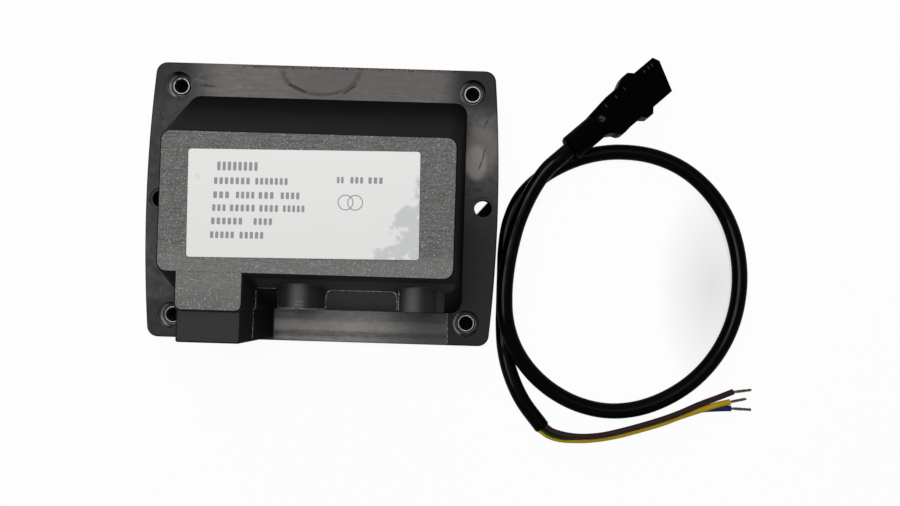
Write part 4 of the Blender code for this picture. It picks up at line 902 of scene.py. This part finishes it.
def housing_finish():
    """Black moulded plastic: grained grey on the raised faces, near black on the slopes, and a flange
    with a pale back and dull sides, their tones painted reflection with dust and rubbing, scratches, and a
    smoother pale strip in front, its shine painted reflection."""
    material, tree, shader = new_finish("housing_moulding", 0.5, specular=0.03)
    shader.inputs["Coat Roughness"].default_value = 0.42
    place = object_mm(tree)
    x, y, z = parts_of(tree, place)
    mottle = noise(tree, place, 0.45, 5.0, 0.62)
    streak = noise(tree, stretched(tree, place, (0.10, 0.9, 1.0)), 1.0, 5.0, 0.65)
    # slow pattern for the flange's patches of painted reflection and wear
    rubbed = total(tree, product(tree, mottle, 0.5), product(tree, streak, 0.7))
    spot = Spot(place, x, y, z, mottle, rubbed)
    grain = use_group(tree, GRAIN, Place=place, Grain=1.9)
    dust = use_group(tree, DUST, Place=place, Amount=1.0)

    upward = rise(tree, parts_of(tree, add_node(tree, "NewGeometry").outputs["Normal"])[2], 0.80, 0.97)
    # the grained face runs on, a little lower, over its seam with the socket block
    seam = product(tree, band(tree, x, *BLOCK_SEAM[0], 0.2), band(tree, y, *BLOCK_SEAM[1], 0.3),
                   rise(tree, z, 56.2, 56.6))
    face = calc(tree, "MAXIMUM", product(tree, upward, rise(tree, z, 56.9, 57.3)), seam)
    step = product(tree, upward, band(tree, z, 50.0, 56.9, 0.2))
    ledge = product(tree, upward, band(tree, z, 5.0, 12.0, 0.5))
    dark_lines = scratches(tree, place, DARK_SCRATCHES, 0.3)

    flange = flange_back(tree, spot, flange_sides(tree, spot))
    flange = front_strip(tree, spot, flange_glare(tree, spot, flange))
    colour = cover(tree, tube_tones(tree, spot, slope_tones(tree, spot)),
                   (face, face_tones(tree, spot, grain)), (step, grey(0.022, 0.01)), (ledge, flange))
    colour = cover(tree, recess_tones(tree, spot, colour),
                   (product(tree, scratches(tree, place, PALE_SCRATCHES, 0.6), 0.55), grey(0.20, 0.02)),
                   (product(tree, dark_lines, 0.85), grey(0.008)),
                   (product(tree, dust.outputs["Specks"], upward, 0.35), grey(0.25)))

    rough = calc(tree, "ADD", spread(tree, upward, 0.85, 0.60), product(tree, face, 0.30), clamp=True)
    height = total(tree, product(tree, grain.outputs["Height"], spread(tree, face, 0.25, 1.0)),
                   product(tree, dark_lines, -0.8))
    wire_up(tree, shader, colour, rough, height, 0.05, 0.55)
    tree.links.new(product(tree, calc(tree, "MAXIMUM", ledge, step), 0.12), shader.inputs["Coat Weight"])
    return material


# The other finishes

def flash_finish():
    """Torn edge of the moulding, grey to pale along it."""
    material, tree, shader = new_finish("moulding_flash", 0.6, specular=0.4)
    tone = rise(tree, noise(tree, object_mm(tree), 1.7, 3.0), 0.36, 0.60)
    wire_up(tree, shader, blend_colours(tree, tone, grey(0.045), grey(0.30)))
    return material


def label_finish():
    """White coated plate with a faint drawn grain, a rubbed grey patch at its lower right and a spot."""
    material, tree, shader = new_finish("label_plate", 0.42)
    place = object_mm(tree)
    x, y = parts_of(tree, place)[:2]
    drawn = noise(tree, stretched(tree, place, (0.05, 0.8, 1.0)), 1.0, 4.0)
    wander = product(tree, less(tree, noise(tree, place, 0.16, 3.0, 0.5), 0.5), 26.0)
    edge = rise(tree, total(tree, x, product(tree, y, -0.40), wander), 34.5, 37.0)
    cloud = rise(tree, noise(tree, place, 0.30, 4.0, 0.6), 0.36, 0.46)
    rubbed = product(tree, edge, cloud, band(tree, y, -24.0, 6.0, 1.5))
    spot = scratches(tree, place, (((-36.6, 5.0, 58.4), (-36.1, 4.2, 58.4), 1.0),), 0.2)
    colour = cover(tree, rgb(0.650, 0.655, 0.642), (drawn, rgb(0.695, 0.700, 0.687)),
                   (product(tree, rubbed, 0.85), rgb(0.50, 0.51, 0.52)),
                   (product(tree, spot, 0.55), rgb(0.50, 0.51, 0.51)))
    wire_up(tree, shader, colour, spread(tree, rubbed, 0.42, 0.60), drawn, 0.01, 0.15)
    return material


def print_ink():
    """Grey print, a little uneven."""
    material, tree, shader = new_finish("label_print", 0.55)
    tone = noise(tree, object_mm(tree), 4.0, 2.0)
    wire_up(tree, shader, blend_colours(tree, tone, grey(0.17), grey(0.27)))
    return material


def metal_finish(name, base, tint, roughness):
    """Bare metal with fine tool lines and a little dulling."""
    material, tree, shader = new_finish(name, roughness, metallic=1.0)
    place = object_mm(tree)
    lines = noise(tree, place, 3.0, 4.0, 0.6)
    dulled = rise(tree, noise(tree, place, 0.6, 3.0), 0.45, 0.75)
    wire_up(tree, shader, blend_colours(tree, lines, base, tint),
            spread(tree, dulled, roughness - 0.06, roughness + 0.14), lines, 0.01, 0.3)
    return material


def sleeve_finish():
    """Bare steel in patches on the rolled rim; down the bore and round the outside it is painted dark as
    shade.
    """
    material, tree, shader = new_finish("sleeve_steel_finish", 0.34)
    place = object_mm(tree)
    z = parts_of(tree, place)[2]
    bare_steel = product(tree, rise(tree, z, 5.20, 5.60), rise(tree, noise(tree, place, 0.35, 1.0), 0.20, 0.40))
    lines = noise(tree, place, 2.4, 4.0, 0.6)
    steel = blend_colours(tree, lines, rgb(0.050, 0.050, 0.047), rgb(0.165, 0.165, 0.158))
    wire_up(tree, shader, blend_colours(tree, bare_steel, grey(0.006), steel), spread(tree, bare_steel, 0.8, 0.30),
            lines, 0.01, 0.3)
    tree.links.new(bare_steel, shader.inputs["Metallic"])
    return material


def striped_finish(name, dark, pale, axis, pitch, roughness):
    """Stack of sheets or turns of wire: a dark gap at each pitch along one axis, in millimetres."""
    material, tree, shader = new_finish(name, roughness, metallic=1.0)
    place = object_mm(tree)
    turn = product(tree, parts_of(tree, place)[axis], math.pi / pitch)
    wave = calc(tree, "ABSOLUTE", calc(tree, "SINE", turn))
    tone = product(tree, rise(tree, wave, 0.05, 0.65), spread(tree, noise(tree, place, 0.8), 0.7, 1.0))
    wire_up(tree, shader, blend_colours(tree, tone, dark, pale), None, wave, 0.08, 0.6)
    return material


def plain_finish(name, low, high, scale, roughness, specular=0.5):
    """Cast or moulded material with a slow change of tone and a fine surface."""
    material, tree, shader = new_finish(name, roughness, specular=specular)
    place = object_mm(tree)
    slow = noise(tree, place, scale, 4.0)
    wire_up(tree, shader, blend_colours(tree, slow, low, high),
            spread(tree, slow, roughness - 0.08, roughness + 0.10), noise(tree, place, 3.0, 2.0), 0.02, 0.3)
    return material


def jacket_finish(name, low, high, roughness, specular, over=None):
    """Extruded plastic: tone and fine drawn lines that follow the cord's own map. What over() gives for the
    tree and the map, a mask and a colour, is laid over the plain one."""
    material, tree, shader = new_finish(name, roughness, specular=specular)
    cord_map = add_node(tree, "UVMap").outputs[0]
    drawn = noise(tree, stretched(tree, cord_map, (0.05, 1.4, 1.0)), 1.0, 4.0)
    patches = noise(tree, stretched(tree, cord_map, (0.25, 0.25, 1.0)), 0.5, 3.0)
    layers = [over(tree, cord_map)] if over else []
    wire_up(tree, shader, cover(tree, low, (patches, high), *layers),
            spread(tree, patches, roughness - 0.08, roughness + 0.12), drawn, 0.03, 0.35)
    return material


SHINE_SIDE = (-0.30, 0.0, 0.954)


def jacket_shine(tree, cord_map):
    """Painted highlight: a thin broken pale line where the jacket's flank faces left."""
    normal = add_node(tree, "NewGeometry").outputs["Normal"]
    facing = vector_node(tree, "DOT_PRODUCT", "Value", i0=normal, i1=SHINE_SIDE)
    broken = rise(tree, noise(tree, stretched(tree, cord_map, (0.06, 0.0, 0.0)), 1.0, 2.0), 0.36, 0.52)
    return product(tree, rise(tree, facing, 0.982, 0.998), broken), grey(0.046)


def earth_stripe(tree, cord_map):
    """Green stripe that turns under the core a little way from the sheath."""
    u, v = parts_of(tree, cord_map)[:2]
    turned = product(tree, rise(tree, u, 11.0, 36.0), 0.30)
    share = less(tree, calc(tree, "DIVIDE", v, math.pi * CORE_DIAMETER / MM), turned)
    return band(tree, share, 0.24, 0.60, 0.02), rgb(0.008, 0.032, 0.010)


HIGHLIGHT_SPOT = (0.0161, 0.0019, CONNECTOR_TOP)


def connector_finish():
    """Black moulding, lightly dusted, with a painted highlight, a pale spot, on top of its boot."""
    material, tree, shader = new_finish("connector_moulding", 0.38, specular=0.008)
    place = object_mm(tree)
    dust = use_group(tree, DUST, Place=place, Amount=0.5)
    grain = use_group(tree, GRAIN, Place=place, Grain=3.0)
    gap = distance(tree, place, tuple(part / MM for part in connector_lay @ Vector(HIGHLIGHT_SPOT)))
    rubbed = product(tree, inverse(tree, rise(tree, gap, 0.6, 1.9)),
                     rise(tree, noise(tree, place, 1.1, 3.0), 0.35, 0.60))
    colour = cover(tree, grey(0.0001), (dust.outputs["Haze"], grey(0.0008)),
                   (product(tree, dust.outputs["Specks"], 0.25), grey(0.03)), (rubbed, grey(0.085)))
    wire_up(tree, shader, colour, spread(tree, dust.outputs["Haze"], 0.34, 0.50), grain.outputs["Height"],
            0.02, 0.35)
    return material


def coat(pieces, finish):
    """Give new pieces their finish."""
    for piece in pieces:
        piece.data.materials.append(finish)


def dress(chosen, finish):
    """Give a finish to the CAD solids whose names are chosen."""
    for node_name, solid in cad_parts.items():
        if chosen(node_name):
            if not solid.material_slots:
                solid.data.materials.append(finish)
            solid.material_slots[0].material = finish


coat(label_print, print_ink())
coat([label], label_finish())
coat(flash, flash_finish())
coat(sleeves, sleeve_finish())
coat(strands, metal_finish("strand_copper_finish", rgb(0.003, 0.003, 0.003), rgb(0.120, 0.088, 0.064), 0.42))
coat(ribs, plain_finish("grip_rib_finish", grey(0.003), grey(0.036), 1.6, 0.45, 0.1))
coat([sheath], jacket_finish("sheath_finish", rgb(0.0003, 0.0003, 0.0004), rgb(0.0008, 0.0008, 0.0009),
                             0.28, 0.02, jacket_shine))
coat([cores["brown"][0]], jacket_finish("brown_insulation", rgb(0.017, 0.009, 0.009),
                                        rgb(0.032, 0.016, 0.016), 0.46, 0.04))
coat([cores["blue"][0]], jacket_finish("blue_insulation", rgb(0.003, 0.009, 0.062),
                                       rgb(0.008, 0.024, 0.120), 0.46, 0.05))
coat([cores["green_yellow"][0]], jacket_finish("earth_insulation", rgb(0.36, 0.25, 0.006),
                                               rgb(0.46, 0.33, 0.012), 0.46, 0.05, earth_stripe))
dress(lambda name: name == "housing", housing_finish())
dress(lambda name: name == "mains_connector", connector_finish())
dress(lambda name: name.startswith(("hv_terminal", "mains_tab", "contact_sleeve")),
      metal_finish("terminal_brass_finish", rgb(0.62, 0.46, 0.20), rgb(0.78, 0.62, 0.32), 0.30))
dress(lambda name: name.startswith(("core_e", "core_i", "shunt")),
      striped_finish("core_laminations", rgb(0.05, 0.05, 0.05), rgb(0.34, 0.34, 0.35), 1, 0.5, 0.45))
dress(lambda name: name.endswith("_winding"),
      striped_finish("winding_turns", rgb(0.16, 0.06, 0.02), rgb(0.62, 0.28, 0.12), 0, 0.4, 0.35))
dress(lambda name: name.endswith("_bobbin"),
      plain_finish("bobbin_plastic_finish", rgb(0.55, 0.53, 0.45), rgb(0.66, 0.64, 0.56), 0.3, 0.5))
dress(lambda name: "_lead_" in name or name == "earth_lead",
      plain_finish("inner_lead_finish", rgb(0.58, 0.56, 0.50), rgb(0.68, 0.66, 0.60), 0.5, 0.45))
dress(lambda name: name == "potting_resin",
      plain_finish("potting_resin_finish", rgb(0.016, 0.014, 0.012), rgb(0.040, 0.034, 0.028), 0.09, 0.30))


# Floor, backdrop and light

FLOOR_HALF = 1.6
FLOOR_Z = -0.0002
SIDE_HOLE_X = 0.0620
LOOP_SHADE = 0.69
LOOP_SHADE_EDGE = ((152.7, -26.7), (22.0, 43.0))
LOOP_INSIDE = ((115.5, -27.1), (47.5, 50.0))


def backdrop_rays(tree):
    """1 for the rays that show the white backdrop: to the camera, off shiny metal, through glass."""
    path = add_node(tree, "LightPath").outputs
    bright = calc(tree, "MAXIMUM", path["Is Camera Ray"], path["Is Glossy Ray"])
    return calc(tree, "MAXIMUM", bright, path["Is Transmission Ray"])


def loop_shade(tree):
    """Soft grey on the floor inside the lead's loop, deepest along its right side."""
    x, y = parts_of(tree, object_mm(tree))[:2]
    deep = inverse(tree, ellipse(tree, x, y, *LOOP_SHADE_EDGE))
    inside = inverse(tree, rise(tree, ellipse(tree, x, y, *LOOP_INSIDE), 0.96, 1.0))
    return product(tree, calc(tree, "MAXIMUM", deep, 0.0), inside, LOOP_SHADE)


def open_floor(tree):
    """1 on the open floor, and 0 where it lies deep in shadow: under the four fixing bores, under the left
    side hole and under the lower right half of the right one."""
    here = object_mm(tree)
    mirrored = vector_node(tree, "ABSOLUTE", i0=here)
    floor_z = abs(FLOOR_Z) / MM
    bore = distance(tree, mirrored, (*(part / MM for part in SLEEVE_REACH), floor_z))
    hole = distance(tree, mirrored, (SIDE_HOLE_X / MM, 0.0, floor_z))
    x, y = parts_of(tree, here)[:2]
    lit = less(tree, product(tree, y, 0.66), product(tree, less(tree, x, SIDE_HOLE_X / MM), 0.75))
    upper = product(tree, rise(tree, lit, 0.35, 0.85), rise(tree, x, 0.0, 1.0))
    return product(tree, rise(tree, bore, 3.9, 4.3), calc(tree, "MAXIMUM", rise(tree, hole, 4.6, 5.0), upper))


def floor_finish():
    """Pale matt floor that shows white to the camera, with its shaded places."""
    material = bpy.data.materials.new("pale_floor")
    material.use_nodes = True
    tree = material.node_tree
    tree.nodes.clear()
    lit = open_floor(tree)
    diffuse = add_node(tree, "BsdfDiffuse", None, Color=blend_colours(tree, lit, grey(0.004), grey(0.80)))
    glow = add_node(tree, "Emission", None, Color=grey(1.0), Strength=1.0)
    share = product(tree, backdrop_rays(tree), 0.95, lit, inverse(tree, loop_shade(tree)))
    mix = add_node(tree, "MixShader", None, i0=share, i1=diffuse.outputs[0], i2=glow.outputs[0])
    add_node(tree, "OutputMaterial", None, Surface=mix.outputs[0])
    return material


def make_stage():
    """Square floor just under the part, and a world that is white to the camera and dim to the part."""
    corners = [(x * FLOOR_HALF, y * FLOOR_HALF, FLOOR_Z) for x, y in ((-1, -1), (1, -1), (1, 1), (-1, 1))]
    mesh = bpy.data.meshes.new("floor")
    mesh.from_pydata(corners, [], [(0, 1, 2, 3)])
    floor = bpy.data.objects.new("floor", mesh)
    coat([floor], floor_finish())
    bpy.context.scene.collection.objects.link(floor)

    world = bpy.data.worlds.new("studio")
    bpy.context.scene.world = world
    world.use_nodes = True
    tree = world.node_tree
    background = tree.nodes["Background"]
    background.inputs["Color"].default_value = grey(1.0)
    tree.links.new(spread(tree, backdrop_rays(tree), 0.14, 1.0), background.inputs["Strength"])


def add_softbox(name, place, aim, size, energy):
    """Soft light of that size in metres, turned to the point that it aims at."""
    lamp = bpy.data.lights.new(name, "AREA")
    lamp.shape = "RECTANGLE"
    lamp.size, lamp.size_y = size
    lamp.energy = energy
    holder = bpy.data.objects.new(name, lamp)
    holder.location = place
    holder.rotation_euler = (Vector(aim) - Vector(place)).to_track_quat("-Z", "Y").to_euler()
    bpy.context.scene.collection.objects.link(holder)


make_stage()
add_softbox("softbox_top", (-0.12, 0.22, 0.95), (0.02, 0.0, 0.02), (0.70, 0.50), 6.4)
add_softbox("softbox_back", (-0.10, 0.85, 0.45), (0.02, 0.0, 0.02), (0.60, 0.30), 1.5)
add_softbox("lamp_small", (0.20, 0.07, 0.95), (0.10, 0.0, 0.0), (0.09, 0.09), 1.0)
